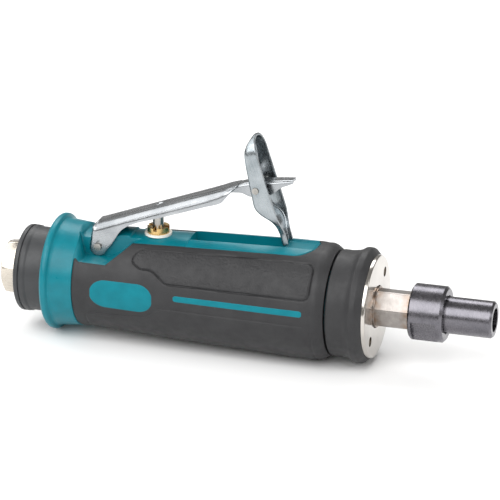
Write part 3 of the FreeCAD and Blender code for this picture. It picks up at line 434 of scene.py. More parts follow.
def inlay_teal():
    """Teal rubber inlaid in the grip, with a faint mottle."""
    f = Finish("inlay_teal", (0.0, 0.16, 0.21), Roughness=0.5, Specular_IOR_Level=0.2)
    f.colour(f.ramp(f.noise(5, 3), (0.3, (0.0, 0.145, 0.185)), (0.7, (0.0005, 0.175, 0.22))))
    f.roughness(f.ramp(f.noise(1.2, 3), (0.3, 0.42), (0.7, 0.56)))
    f.bump((f.noise(0.4, 3), 0.02))
    return f.material


def cap_polymer():
    """Near-black satin polymer."""
    f = Finish("cap_polymer", (0.028, 0.03, 0.032), Roughness=0.45)
    f.colour(f.ramp(f.noise(6, 4), (0.3, (0.024, 0.026, 0.028)), (0.75, (0.036, 0.037, 0.04))))
    f.roughness(f.ramp(f.noise(1.5, 4), (0.3, 0.38), (0.7, 0.52)))
    f.bump((f.noise(0.6, 3), 0.03), (f.noise(0.2, 2), 0.01))
    return f.material


def metal(name, colour, dark, rough, grain, stretch, turned=(0, 0, 0), depth=0.004, size=None):
    """Bare or plated metal with directional grain, cloudy tone and uneven polish."""
    f = Finish(name, colour, Metallic=1.0, Roughness=sum(rough) / 2)
    cloud = f.noise(size or grain * 12, 4)
    streak = f.noise(grain, 3, 0.6, stretch, turned)
    tone = f.ramp(cloud, (0.3, dark), (0.72, colour))
    f.colour(f.blend(f.ramp(streak, (0.35, 0.0), (0.7, 0.5)), tone, colour))
    f.roughness(f.ramp(streak, (0.25, rough[0]), (0.75, rough[1])))
    f.bump((streak, depth))
    return f


def black_oxide():
    """Blued black steel, polished by handling, with a brown and violet cast and fine lighter streaks."""
    f = Finish("black_oxide", (0.09, 0.088, 0.098), Metallic=1.0, Roughness=0.28)
    tone = f.ramp(f.noise(5, 3), (0.3, (0.115, 0.112, 0.128)), (0.7, (0.165, 0.158, 0.175)))
    fine = f.ramp(f.noise(0.12, 2, 0.6, (1, 12, 12)), (0.35, 0.0), (0.75, 0.6))
    f.colour(f.blend(fine, tone, (0.2, 0.195, 0.21)))
    f.roughness(f.ramp(f.noise(1.2, 4), (0.3, 0.22), (0.75, 0.34)))
    f.bump((f.noise(0.12, 2, 0.6, (1, 12, 12)), 0.002))
    return f.material


def spindle_steel():
    """Ground steel with brown heat tint at both ends of the hexagon."""
    f = metal("spindle_steel", (0.42, 0.39, 0.37), (0.28, 0.26, 0.245), (0.24, 0.42), 0.25, (1, 6, 6), size=3)
    ends = f.ramp(f.along("X", FACE_X, NUT_X), (0.0, 0.7), (0.25, 0.05), (0.7, 0.0), (1.0, 0.75))
    patchy = f.blend(1.0, ends, f.ramp(f.noise(2.2, 3), (0.35, 0.1), (0.65, 1.0)), "MULTIPLY")
    base = f.shader.inputs["Base Color"].links[0].from_socket
    f.colour(f.blend(patchy, base, (0.27, 0.15, 0.075)))
    return f.material


def plain(name, colour, dark, rough, size, depth, metallic=0.0):
    """A simple finish for pieces inside the tool, still with tone and grain of its own."""
    f = Finish(name, colour, Metallic=metallic, Roughness=rough)
    f.colour(f.ramp(f.noise(size * 6, 3), (0.3, dark), (0.7, colour)))
    f.roughness(f.ramp(f.noise(size * 2, 3), (0.3, rough * 0.85), (0.7, min(1.0, rough * 1.15))))
    f.bump((f.noise(size, 3), depth))
    return f.material


def floor_paper():
    """Pale seamless paper."""
    f = Finish("floor_paper", (0.93, 0.93, 0.93), Roughness=0.9)
    f.colour(f.ramp(f.noise(60, 2), (0.3, 0.925), (0.7, 0.935)))
    f.bump((f.noise(1.5, 3), 0.02))
    return f.material


SLOPE = -20.3  # the lever's slope about Y, in degrees
TEAL = teal_composite()
RUBBER = grip_rubber("grip_rubber", 0.04)
PEBBLED = grip_rubber("grip_rubber_pebbled", 0.22)
INLAY = inlay_teal()
CAP = cap_polymer()
NICKEL = metal("nickel_steel", (0.62, 0.57, 0.50), (0.5, 0.46, 0.4), (0.2, 0.34), 0.5, (6, 1, 1)).material
COPPER = metal("copper", (0.70, 0.31, 0.14), (0.52, 0.2, 0.08), (0.25, 0.4), 0.4, (1, 4, 4)).material
CHROME = metal("chrome_ring", (0.60, 0.57, 0.53), (0.48, 0.455, 0.43), (0.1, 0.2), 0.25, (1, 8, 8),
               size=8).material
SPINDLE = spindle_steel()
OXIDE = black_oxide()
LEVER = metal("lever_steel", (0.42, 0.435, 0.45), (0.25, 0.265, 0.28), (0.16, 0.36), 0.35, (60, 1, 1),
              (0, SLOPE, 0), 0.012, 9).material
LATCH = metal("latch_steel", (0.38, 0.41, 0.43), (0.22, 0.25, 0.265), (0.16, 0.38), 0.4, (1, 1, 14),
              (0, -18, 0), 0.01, 6).material
PIN = metal("pin_steel", (0.42, 0.41, 0.385), (0.26, 0.25, 0.235), (0.18, 0.3), 0.3, (1, 4, 1)).material
BRASS = metal("valve_brass", (0.66, 0.46, 0.2), (0.5, 0.33, 0.13), (0.2, 0.36), 0.25, (4, 4, 1),
              size=2).material
NYLON = plain("nylon", (0.86, 0.85, 0.80), (0.78, 0.77, 0.71), 0.4, 0.5, 0.01)
SEAL = plain("seal_rubber", (0.02, 0.02, 0.02), (0.014, 0.014, 0.014), 0.6, 0.4, 0.01)
FELT = plain("felt", (0.30, 0.28, 0.25), (0.2, 0.19, 0.17), 0.95, 0.3, 0.08)
BEARING = plain("bearing_steel", (0.62, 0.62, 0.63), (0.5, 0.5, 0.52), 0.2, 0.3, 0.002, 1.0)
IRON = plain("motor_iron", (0.32, 0.31, 0.30), (0.24, 0.23, 0.22), 0.4, 0.5, 0.01, 1.0)
ALLOY = plain("plate_alloy", (0.58, 0.58, 0.57), (0.48, 0.48, 0.48), 0.35, 0.5, 0.008, 1.0)
LAMINATE = plain("blade_laminate", (0.24, 0.13, 0.06), (0.17, 0.09, 0.04), 0.6, 0.6, 0.02)

CAD_FINISHES = {
    "muffler_felt": FELT, "spindle_felt": FELT, "inlet_washer": COPPER, "inlet_o_ring": SEAL,
    "inlet_screen": BEARING, "rear_plate": ALLOY, "front_plate": ALLOY, "motor_cylinder": IRON,
    "cylinder_dowel": PIN, "clamp_spacer": ALLOY, "rotor": IRON, "rotor_blades": LAMINATE,
    "rear_bearing_inner": BEARING, "rear_bearing_outer": BEARING, "rear_bearing_balls": BEARING,
    "rear_bearing_cage": BRASS, "front_bearing_inner": BEARING, "front_bearing_outer": BEARING,
    "front_bearing_balls": BEARING, "front_bearing_cage": BRASS, "spindle": SPINDLE, "collet": OXIDE,
    "collet_snap_ring": BEARING, "collet_nut": OXIDE, "valve_washer": NYLON, "valve_bushing": BRASS,
    "valve_seat": SEAL, "valve_stem": PIN, "valve_poppet": SEAL, "valve_spring": PIN, "lever_pin": PIN,
    "latch_pin": PIN, "latch_spring": PIN,
}


def finish_cad_nodes():
    """Give every carried-over CAD node its procedural finish."""
    for name, material in CAD_FINISHES.items():
        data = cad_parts[name].data
        data.materials.clear()
        data.materials.append(material)
        for face in data.polygons:
            face.material_index = 0


# ---------------------------------------------------------------- the grip

grip_radius = curve((GRIP_X, 20.9), (GRIP_X + 4.5, 20.9), (GRIP_X + 22, 21.6), (GRIP_X + 68.5, 23.2),
                    (GRIP_X + 92, 23.75), (GRIP_X + 99, 23.7), (GRIP_X + 102.6, 22.9), (GRIP_END_X, 21.3))


def pad_recess(x):
    """How far the grip's flank lies inside its moulded outline at x."""
    return 0.32 * smoothstep(GRIP_X + 2.5, GRIP_X + 6, x) * smoothstep(GRIP_X + 101.5, GRIP_X + 99, x)


def opening_edge(x):
    """Half width of the grip's opening at x, in millimetres across the tool."""
    radius = grip_radius(x)
    edge_z = SHELF_Z + 0.7 + 1.3 * (1 - smoothstep(GRIP_X, GRIP_X + 2.2, x)) \
        + SHELF_RISE * np.clip((x - SHELF_X) / (SHELF_END_X - SHELF_X), 0, 1)
    beside = np.sqrt(np.maximum(radius**2 - edge_z**2, 0))
    half = np.where(x < SHELF_END_X + 2, np.maximum(beside, OPENING_HALF), OPENING_HALF)
    ahead = np.clip((x - OPENING_ROUND_X) / OPENING_HALF, 0, 1)
    return half * np.sqrt(1 - ahead**2)


PAD_SCALE = 22.5 * math.pi / 180  # millimetres round the grip for each degree


def pad_outline(corners):
    """Rounded outline from (x, degrees above the side, radius) corners."""
    return rounded([(x, angle * PAD_SCALE, radius) for x, angle, radius in corners])


UPPER_PAD = pad_outline([(GRIP_X + 26.2, 57, 3.5), (GRIP_X + 23.6, 41, 4), (GRIP_X + 28.5, 33.5, 4),
                         (GRIP_X + 33, 34, 6), (GRIP_X + 39.5, 20.5, 3), (GRIP_X + 99, 20, 2.5),
                         (GRIP_X + 99.2, 58, 3), (GRIP_X + 50, 58, 0)])
LOWER_PAD = pad_outline([(GRIP_X + 5.2, -26, 2.5), (GRIP_X + 23, -23.5, 5), (GRIP_X + 31.5, -20.5, 5),
                         (GRIP_X + 37.5, -7.5, 3), (GRIP_X + 99.6, -7, 3), (GRIP_X + 99.6, -120, 0),
                         (GRIP_X + 5.2, -120, 0)])


def grip_detail(x, side):
    """Height of the grip's moulded detail at x and `side` degrees above its side."""
    folded = np.degrees(np.arcsin(np.sin(np.radians(side))))
    upper = outline_distance(x, folded * PAD_SCALE, UPPER_PAD)
    lower = outline_distance(x, folded * PAD_SCALE, LOWER_PAD)
    height = -0.5 * np.clip(1 - (upper / 0.42)**2, 0, 1) + 0.10 * smoothstep(0.2, 0.9, -upper)
    height += 0.32 * smoothstep(-0.35, 0.35, -lower) - 0.10 * np.clip(1 - ((lower - 0.5) / 0.4)**2, 0, 1)
    return height, smoothstep(0.3, 1.0, -upper)


def pebbles(x, y, z):
    """Height of the pebbled moulding at a point, from -1 to 1."""
    place = Vector((x, y, z))
    return 0.65 * noise.noise(place / 0.95) + 0.35 * noise.noise(place / 0.5)


def make_grip():
    """Rubber grip: one closed sleeve that ends along the opening, with moulded pads."""
    straight_rows, round_rows = 270, 25
    start = np.linspace(GRIP_X, OPENING_ROUND_X, straight_rows)
    round_end = OPENING_ROUND_X + OPENING_HALF * np.sin(np.linspace(0, math.pi / 2, round_rows + 1)[1:])
    ahead = np.linspace(round_end[-1], GRIP_END_X, 22)[1:]
    xs = np.concatenate([start, round_end, ahead])
    columns = 400
    share = np.linspace(0, 1, columns)
    edge = np.degrees(np.arcsin(np.clip(opening_edge(xs) / grip_radius(xs), 0, 1)))
    x = np.repeat(xs[:, None], columns, 1)
    # `side` runs from the near edge of the opening, down round the bottom and up to the far edge
    side = (90 - edge)[:, None] + (-360 + 2 * edge)[:, None] * share[None, :]
    base = grip_radius(x) - pad_recess(x)
    detail, pebbled = grip_detail(x, side)
    from_edge = np.minimum(share, 1 - share)[None, :] * (360 - 2 * edge)[:, None] * PAD_SCALE
    lip = np.where(xs[:, None] < round_end[-1] - 0.05, 0.35 * np.exp(-(from_edge / 0.35)**2), 0)
    rear = 0.25 * np.exp(-((x - GRIP_X) / 0.35)**2)
    radius = base + detail - lip - rear
    points = []
    for i in range(len(xs)):
        for j in range(columns):
            angle = math.radians(side[i, j])
            r = radius[i, j]
            y, z = -r * math.cos(angle), r * math.sin(angle)
            if pebbled[i, j] > 0:
                push = 1 + 0.16 * pebbled[i, j] * pebbles(xs[i], y, z) / r
                y, z = y * push, z * push
            points.append((xs[i], y, z))
    for i in range(len(xs)):
        for j in range(columns):
            angle = math.radians(side[i, j])
            points.append((xs[i], -CORE_RAD * math.cos(angle), CORE_RAD * math.sin(angle)))
    faces = thick_faces(len(xs), columns, closed_rows=straight_rows + round_rows - 1)
    grip = make("grip_sleeve_moulded", points, faces, RUBBER, "housing_group", ["grip_sleeve"], "grip_rubber",
                sharp=40, weld=0.001)
    grip.data.materials.append(PEBBLED)
    places = np.array([face.center for face in grip.data.polygons]) / MM
    sides = np.degrees(np.arctan2(places[:, 2], -places[:, 1]))
    outside = np.hypot(places[:, 1], places[:, 2]) > CORE_RAD + 0.6
    for face, share in zip(grip.data.polygons, grip_detail(places[:, 0], sides)[1] * outside):
        face.material_index = int(share > 0.5)


def make_inlay(name, x_start, x_end, middle, half):
    """A plain bar with round ends, inlaid flush in the grip's side; `middle` is in degrees."""
    bend = min(half, (x_end - x_start) / 2)
    arc = np.sin(np.linspace(0, math.pi / 2, 20))
    xs = np.concatenate([x_start + bend * (1 - arc[::-1]),
                         np.linspace(x_start + bend, x_end - bend, 60)[1:-1], x_end - bend + bend * arc])
    across = np.linspace(-1, 1, 15)
    points = []
    for x in xs:
        to_end = min(x - x_start, x_end - x)
        reach = half * math.sqrt(max(1 - (1 - min(to_end / bend, 1))**2, 0)) if to_end < bend else half
        for step in across:
            angle = math.radians(middle + step * reach / PAD_SCALE)
            edge = min(reach * (1 - abs(step)), to_end)
            r = float(grip_radius(x) - pad_recess(x)) + 0.07 - 0.16 * math.exp(-(edge / 0.3)**2)
            points.append((x, -r * math.cos(angle), r * math.sin(angle)))
    points += [(x, y * 0.97, z * 0.97) for x, y, z in points]
    faces = thick_faces(len(xs), len(across))
    make(name, points, faces, INLAY, "housing_group", (), "teal_composite", weld=0.001)


# ---------------------------------------------------------------- the housing

def bare_radius(x):
    """Radius of the housing where it shows: rounded flange, tapering sleeve and the bare top."""
    flange = [(FLANGE_X, FLANGE_RAD - 2.6, 0), (FLANGE_X + 0.1, FLANGE_RAD - 0.7, 0.7),
              (FLANGE_X + 1.0, FLANGE_RAD, 0.9), (FLANGE_X + 2.2, FLANGE_RAD, 1.0),
              (SLEEVE_X - 0.7, FLANGE_RAD - 0.35, 0.9), (SLEEVE_X - 0.05, 22.2, 0.3),
              (SLEEVE_X + 0.7, 21.85, 0.6), (GRIP_X - 0.35, 21.05, 0.2), (GRIP_X, 20.75, 0)]
    xs, rs = np.array(rounded(flange, closed=False)).T
    top = grip_radius(x) - mix(0.9, 0.25, smoothstep(CHANNEL_X - 0.9, CHANNEL_X - 0.3, x))
    top = np.where(x < SHELF_END_X - 3, grip_radius(x) - 0.25, top)
    return np.where(x < GRIP_X, np.interp(x, xs, rs), top)


def shelf_height(x):
    """Height of the shelf beside the lever's ears, and of the ramp that leads up from it."""
    return SHELF_Z - SHELF_RISE * smooth_min(0.0, (x - SHELF_X) / (SHELF_X - SHELF_END_X), 0.25)


def pocket_share(x, y):
    """0 on the sleeve, 1 inside the pocket for the lever's ears; the pocket's rear end is curved."""
    start = POCKET_X + 2.2 * smoothstep(0, 13, y)
    return smoothstep(start, start + 3.0, x)


def skin_radius(x, outside):
    """Radius of the housing's skin, which dives under the grip where `outside` is 1."""
    return mix(bare_radius(x), CORE_RAD - 0.2, np.where(x > GRIP_X, outside, 0))


def top_height(x, y):
    """Height of the housing's skin at x and y, on its upper part."""
    outside = smoothstep(0.15, 0.5, y - opening_edge(np.maximum(x, GRIP_X)))
    z = np.sqrt(np.maximum(skin_radius(x, outside)**2 - y**2, 0))
    rib_drop = 1.7 * (1 - smoothstep(38, 51, x))
    beside = smoothstep(RIB_HALF - 0.15, RIB_HALF + 0.15, y)
    pocket = mix(z - rib_drop, smooth_min(shelf_height(x), z, POCKET_ROUND), beside)
    z = mix(z, pocket, pocket_share(x, y))
    spot = smoothstep(5.9, 5.6, np.hypot(x - VALVE_X, y))
    z = mix(z, np.minimum(z, WASHER_Z - 0.02), spot)
    trough = smoothstep(CHANNEL_HALF + 0.12, CHANNEL_HALF - 0.12, y)
    along = (smoothstep(CHANNEL_X - 0.1, CHANNEL_X + 0.15, x)
             * smoothstep(CHANNEL_END_X + 0.1, CHANNEL_END_X - 0.15, x))
    opening_end = OPENING_ROUND_X + OPENING_HALF
    ledge = (smoothstep(CHANNEL_END_X - 0.2, CHANNEL_END_X + 0.1, x)
             * smoothstep(opening_end, opening_end - 2.5, x))
    z = mix(z, np.minimum(z, CHANNEL_FLOOR), trough * along)
    return mix(z, np.minimum(z, TIP_Z - LEDGE_GAP), trough * ledge)


def flank_radius(x, degrees):
    """Radius of the housing's skin at x and an angle from the top, on its lower part."""
    angle = np.radians(degrees)
    grip = grip_radius(np.maximum(x, GRIP_X))
    edge_angle = np.arcsin(np.clip(opening_edge(np.maximum(x, GRIP_X)) / grip, 0, 1))
    radius = skin_radius(x, smoothstep(0.15, 0.5, (angle - edge_angle) * grip))
    flat = shelf_height(x) / np.maximum(np.cos(angle), 0.2)
    cut = pocket_share(x, radius * np.sin(angle)) * smoothstep(80, 72, degrees)
    return mix(radius, smooth_min(radius, flat, POCKET_ROUND * cut + 0.01), cut)


def make_housing():
    """Teal housing: flange, sleeve, pocket for the lever's ears, and the bare top with its channel."""
    xs = np.concatenate([np.linspace(FLANGE_X, SLEEVE_X + 1.4, 34), np.linspace(SLEEVE_X + 1.8, 31.6, 12),
                         np.linspace(32, 40, 42), np.linspace(40.4, CHANNEL_X - 1.4, 84),
                         np.linspace(CHANNEL_X - 1.1, CHANNEL_X + 0.6, 14),
                         np.linspace(CHANNEL_X + 1.2, CHANNEL_END_X - 0.9, 48),
                         np.linspace(CHANNEL_END_X - 0.6, CHANNEL_END_X + 0.6, 12),
                         np.linspace(CHANNEL_END_X + 1, OPENING_ROUND_X + OPENING_HALF + 0.8, 36)])
    flat_half = 17.4
    half_ys = np.unique(np.concatenate([np.linspace(0, RIB_HALF - 0.25, 15),
                                        np.linspace(RIB_HALF - 0.12, RIB_HALF + 0.18, 5),
                                        np.linspace(CHANNEL_HALF - 0.15, CHANNEL_HALF + 0.2, 6),
                                        np.linspace(CHANNEL_HALF + 0.4, 8.6, 10),
                                        np.linspace(8.8, 10.0, 10), np.linspace(10.3, flat_half, 36)]))
    turn_share = np.concatenate([np.linspace(0, 0.36, 100)[1:], np.linspace(0.36, 1, 60)[1:]])
    rows = []
    for x in xs:
        top_z = top_height(x, half_ys)
        start = math.degrees(math.atan2(flat_half, top_z[-1]))
        angles = start + (180 - start) * turn_share
        right = [(x, y, z) for y, z in zip(half_ys, top_z)]
        right += [(x, r * math.sin(math.radians(a)), r * math.cos(math.radians(a)))
                  for a, r in zip(angles, flank_radius(x, angles))]
        left = [(px, -py, pz) for px, py, pz in reversed(right[1:-1])]
        rows.append(right + left)

    def ring(x, radius, like):
        """The row `like`, moved to x and made round."""
        return [(x, y * radius / math.hypot(y, z), z * radius / math.hypot(y, z)) for _, y, z in like]

    first, last = rows[0], rows[-1]
    front_x = last[0][0]
    rows = [ring(CAP_X + 2.2, 8.5, first), ring(CAP_X + 2.2, 11.4, first), ring(FLANGE_X, 11.4, first)] + rows
    rows += [ring(front_x + 0.3, CORE_RAD - 0.3, last), ring(GRIP_END_X, CORE_RAD - 0.3, last),
             ring(GRIP_END_X, 16.0, last), ring(80, 16.0, last), ring(80, 8.5, last)]
    columns = len(first)
    points = [p for row in rows for p in row]
    faces = grid_faces(len(rows), columns, True, True)
    shell = make("housing_shell", points, faces, TEAL, sharp=38, weld=0.001)
    carve(shell, rod("bore", 4.02, -8, 30, "Z", (VALVE_X, 0, 0)), sharp=38)
    settle(shell, "housing_group", ["housing"])


# ---------------------------------------------------------------- turned pieces

def make_cap():
    """Exhaust cap with two rear rims, a fine groove between them and a ring of exhaust holes."""
    r = CAP_RIM
    outline = rounded([
        (CAP_X, 8.9, 0), (CAP_X, r, 1.1), (CAP_X + 2.0, r, 0.25), (CAP_X + 2.15, r - 0.55, 0.1),
        (CAP_X + 2.5, r - 0.55, 0.1), (CAP_X + 2.65, r + 0.02, 0.3), (CAP_X + 4.3, r - 0.15, 0.8),
        (CAP_X + 5.2, r - 0.55, 0.8), (FLANGE_X, r - 0.5, 0), (FLANGE_X, 15.0, 0), (CAP_X + 2.2, 15.0, 0),
        (CAP_X + 2.2, 8.9, 0)])
    cap = spin("exhaust_cap_ribbed", outline, material=CAP, sharp=36)
    total, ring = 12, 13.4  # exhaust holes, and the radius of their ring
    turns = [k * TAU / total for k in range(total)]
    holes = [rod("hole", 1.1, CAP_X - 1, CAP_X + 4, "X", (0, ring * math.cos(t), ring * math.sin(t)), 24)
             for t in turns]
    carve(cap, *holes, sharp=36)
    settle(cap, "housing_group", ["exhaust_cap"])


def make_inlet():
    """Hexagonal inlet bushing with rounded corners and a threaded bore."""
    flats = 20.6
    reach = flats / 2 / math.cos(math.pi / 6)
    turns = [math.radians(60 * k + 106) for k in range(6)]
    corners = [(reach * math.cos(t), reach * math.sin(t), 0.5) for t in turns]
    bar = block("inlet_bushing_hex", rounded(corners, steps=3), HEX_END_X / 2, "X", HEX_END_X / 2,
                material=NICKEL)
    chamfer = spin("turned", rounded([(-1, 0), (-0.01, 0), (0, flats / 2 - 0.6, 0.3),
                                      (1.3, flats / 2 + 1.3, 0.8), (CAP_X + 3, flats / 2 + 1.9),
                                      (CAP_X + 3, 0)], steps=4))
    carve(bar, chamfer, operation="INTERSECT")
    shank = rod("shank", 8.4, CAP_X - 1, CAP_X + 22, "X", steps=96)
    carve(bar, shank, operation="UNION")
    wall = [(-2, 0), (-2, 7.1), (0.9, 6.15)]
    pitch = 1.41
    for k in range(8):
        wall += [(1.2 + pitch * k, 6.05), (1.2 + pitch * (k + 0.5), 5.45)]
    wall += [(13, 5.6), (13, 4.2), (CAP_X + 30, 4.2), (CAP_X + 30, 0)]
    carve(bar, spin("thread", wall, steps=72), sharp=30)
    soften(bar, 0.12, 40)
    settle(bar, "housing_group", ["inlet_bushing"])


def make_collar():
    """Front collar with a rounded lip."""
    outline = rounded([
        (COLLAR_X, 16.0, 0), (COLLAR_X, 21.4, 0.9), (COLLAR_X + 4, 21.3, 8), (COLLAR_X + 8.0, 21.9, 7),
        (COLLAR_X + 10.2, LIP_RAD, 1.6), (COLLAR_X + 12.4, LIP_RAD - 0.1, 1.3), (RING_X + 0.1, 20.9, 0.3),
        (RING_X + 0.1, 16.0, 0)], steps=8)
    spin("front_collar_moulded", outline, material=RUBBER, body="housing_group", replaces=["front_collar"],
         slot="grip_rubber", sharp=40)


def make_lock_ring():
    """Polished lock ring with a rolled edge and two spanner holes."""
    outline = rounded([
        (RING_X - 6, 8.5, 0), (RING_X - 6, 15.6, 0), (RING_X, 15.6, 0), (RING_X, RING_RAD - 0.3, 0.1),
        (RING_X + 0.1, RING_RAD, 0.3), (FACE_X, RING_RAD, 1.5), (FACE_X, 8.5, 0.35)], steps=8)
    ring = spin("lock_ring_polished", outline, material=CHROME, steps=220, sharp=34)
    at = 15.3 * math.cos(math.pi / 4)
    holes = [rod("hole", 2.0, FACE_X - 1.4, FACE_X + 1, "X", (0, side * at, side * at), 40)
             for side in (-1, 1)]
    carve(ring, *holes, sharp=34)
    settle(ring, "housing_group", ["lock_ring"])


# ---------------------------------------------------------------- lever and latch

def rails(points, count):
    """Resample a polyline of numbers smoothly at evenly shared steps between its points."""
    points = np.array(points, float)
    at = np.arange(len(points))
    fine = np.linspace(0, len(points) - 1, count)
    columns = []
    for k in range(points.shape[1]):
        columns.append(curve(*zip(at, points[:, k]))(fine))
    return np.array(columns).T


def folded_sheet(name, stations, count, sheet, shoulder_steps=8):
    """A folded channel of sheet metal; a station is (top x, top z, low x, low z, half width, shoulder)."""
    rows = rails(stations, count)

    def section(row, inset):
        """Points across the channel, from one lower edge over the top to the other."""
        tx, tz, lx, lz, half, bend = row
        half, bend = half - inset, max(bend - inset, 0.15)
        spread = min(bend * 1.5, half)
        down = Vector((lx - tx, lz - tz))
        length = down.length
        down.normalize()
        side = []
        for k in range(7):  # from the lower edge up to where the shoulder starts
            reach = mix(length, bend + inset, k / 6)
            side.append((tx + down.x * reach, -half, tz + down.y * reach))
        for k in range(1, shoulder_steps + 1):
            angle = math.pi / 2 * k / shoulder_steps
            reach = inset + bend * (1 - math.sin(angle))
            side.append((tx + down.x * reach, -half + spread * (1 - math.cos(angle)), tz + down.y * reach))
        flat = half - spread
        for k in range(1, 5):
            side.append((tx + down.x * inset, -flat * (1 - k / 4), tz + down.y * inset))
        return side + [(x, -y, z) for x, y, z in reversed(side[:-1])]

    outer = [section(row, 0) for row in rows]
    inner = [section(row, sheet) for row in rows]
    points = [p for row in outer + inner for p in row]
    return make(name, points, thick_faces(len(rows), len(outer[0])), sharp=40, weld=0.0005)


def make_lever():
    """Stamped throttle lever: wide channel with two ears, a slanted front end and a narrow folded tongue."""
    px, pz = LEVER_PIN.x, LEVER_PIN.z
    x0, z0 = LATCH_PIN.x, LATCH_PIN.z

    def ear(angle):
        """A point on the round end of the ears, `angle` degrees from straight down towards the front."""
        return px + 3.7 * math.sin(math.radians(angle)), pz - 3.7 * math.cos(math.radians(angle))

    def top(x):
        """Height of the lever's flat top at x."""
        return pz + 9.15 + (x - px + 1.9) * math.tan(math.radians(-SLOPE))

    stations = [(px - 2.2, top(px - 2.2) - 0.55, *ear(-92), 6.6, 1.8),
                (px - 1.4, top(px - 1.4), *ear(-64), 7.15, 3.2)]
    stations += [(px - 0.6 + 1.2 * k, top(px - 0.6 + 1.2 * k), *ear(-38 + 26 * k), 7.2, 3.6)
                 for k in range(5)]
    # ahead of the lever pin: top, lower edge and its height above the pin, half width, shoulder
    stations += [(px + ahead, top(px + ahead), px + low, pz + up, half, bend)
                 for ahead, low, up, half, bend in (
                     (7, 5.8, 1.6, 7.2, 3.6), (10, 9.2, 7.1, 7.2, 3.6), (12.5, 12.3, 9.8, 7.2, 3.4),
                     (16, 16.5, 11.9, 7.2, 3.3), (22, 22.5, 13.9, 7.2, 3.3), (28, 28.5, 15.9, 7.2, 3.3),
                     (36, 37, 18.9, 7.2, 3.3), (44, 45.2, 21.8, 7.2, 3.3), (50, 51.3, 23.9, 7.15, 3.0),
                     (53.2, 53.8, 26.4, 7.0, 2.4), (56.2, 55.6, 29.0, 6.2, 2.4),
                     (57.8, 57.2, 30.2, 5.0, 1.8))]
    lever = folded_sheet("throttle_lever_stamped", stations, 150, 1.2)
    # behind the latch pin the tongue follows the lever's top, by a drop; ahead of it, a height above the pin
    tongue_stations = [(x0 - back, top(x0 - back) - drop, x0 - low, z0 - down, half, bend)
                       for back, drop, low, down, half, bend in (
                           (13.5, 0.15, 13.2, 3.4, 3.7, 1.3), (10, 0.1, 9.6, 2.9, 3.7, 1.3),
                           (7, 0, 6.6, 2.9, 3.6, 1.2), (4, 0.3, 3.8, 3.9, 3.6, 1.2))]
    tongue_stations += [(x0 + ahead, z0 + up, x0 + low, z0 + low_up, half, bend)
                        for ahead, up, low, low_up, half, bend in (
                            (-1, 2.55, -1, -3.9, 3.6, 1.2), (2, 2.75, 2.2, -3.5, 3.6, 1.2),
                            (5, 3.1, 5.6, -2.1, 3.5, 1.1), (9, 3.6, 9.4, 0.9, 3.3, 1.0),
                            (12, 3.95, 12.1, 2.1, 3.0, 0.9), (14.0, 4.15, 14.0, 2.9, 2.5, 0.6))]
    tongue = folded_sheet("tongue", tongue_stations, 90, 1.0)
    carve(lever, tongue, operation="UNION", sharp=34)
    holes = [rod("pin_hole", 1.6, -12, 12, "Y", (px, 0, pz), 48),
             rod("pin_hole", 1.36, -12, 12, "Y", (x0, 0, z0), 48)]
    carve(lever, *holes, sharp=34)
    soften(lever, 0.16, 45)
    lever.data.materials.clear()
    lever.data.materials.append(LEVER)
    settle(lever, "lever_group", ["throttle_lever"])
    # the small pressed dimple over the valve stem
    dimple_x = VALVE_X + 0.4
    dimple_outline = [(-0.6, 0), (-0.6, 1.9), (0.05, 1.9, 0.3), (0.38, 0.9, 0.8), (0.42, 0)]
    dimple = spin("lever_dimple", rounded(dimple_outline, steps=5), "Z", steps=40)
    dimple.data.transform(Euler((0, math.radians(SLOPE), 0)).to_matrix().to_4x4())
    dimple.data.transform(shift(dimple_x, 0, top(dimple_x)))
    dimple.data.materials.append(LEVER)
    settle(dimple, "lever_group", ())


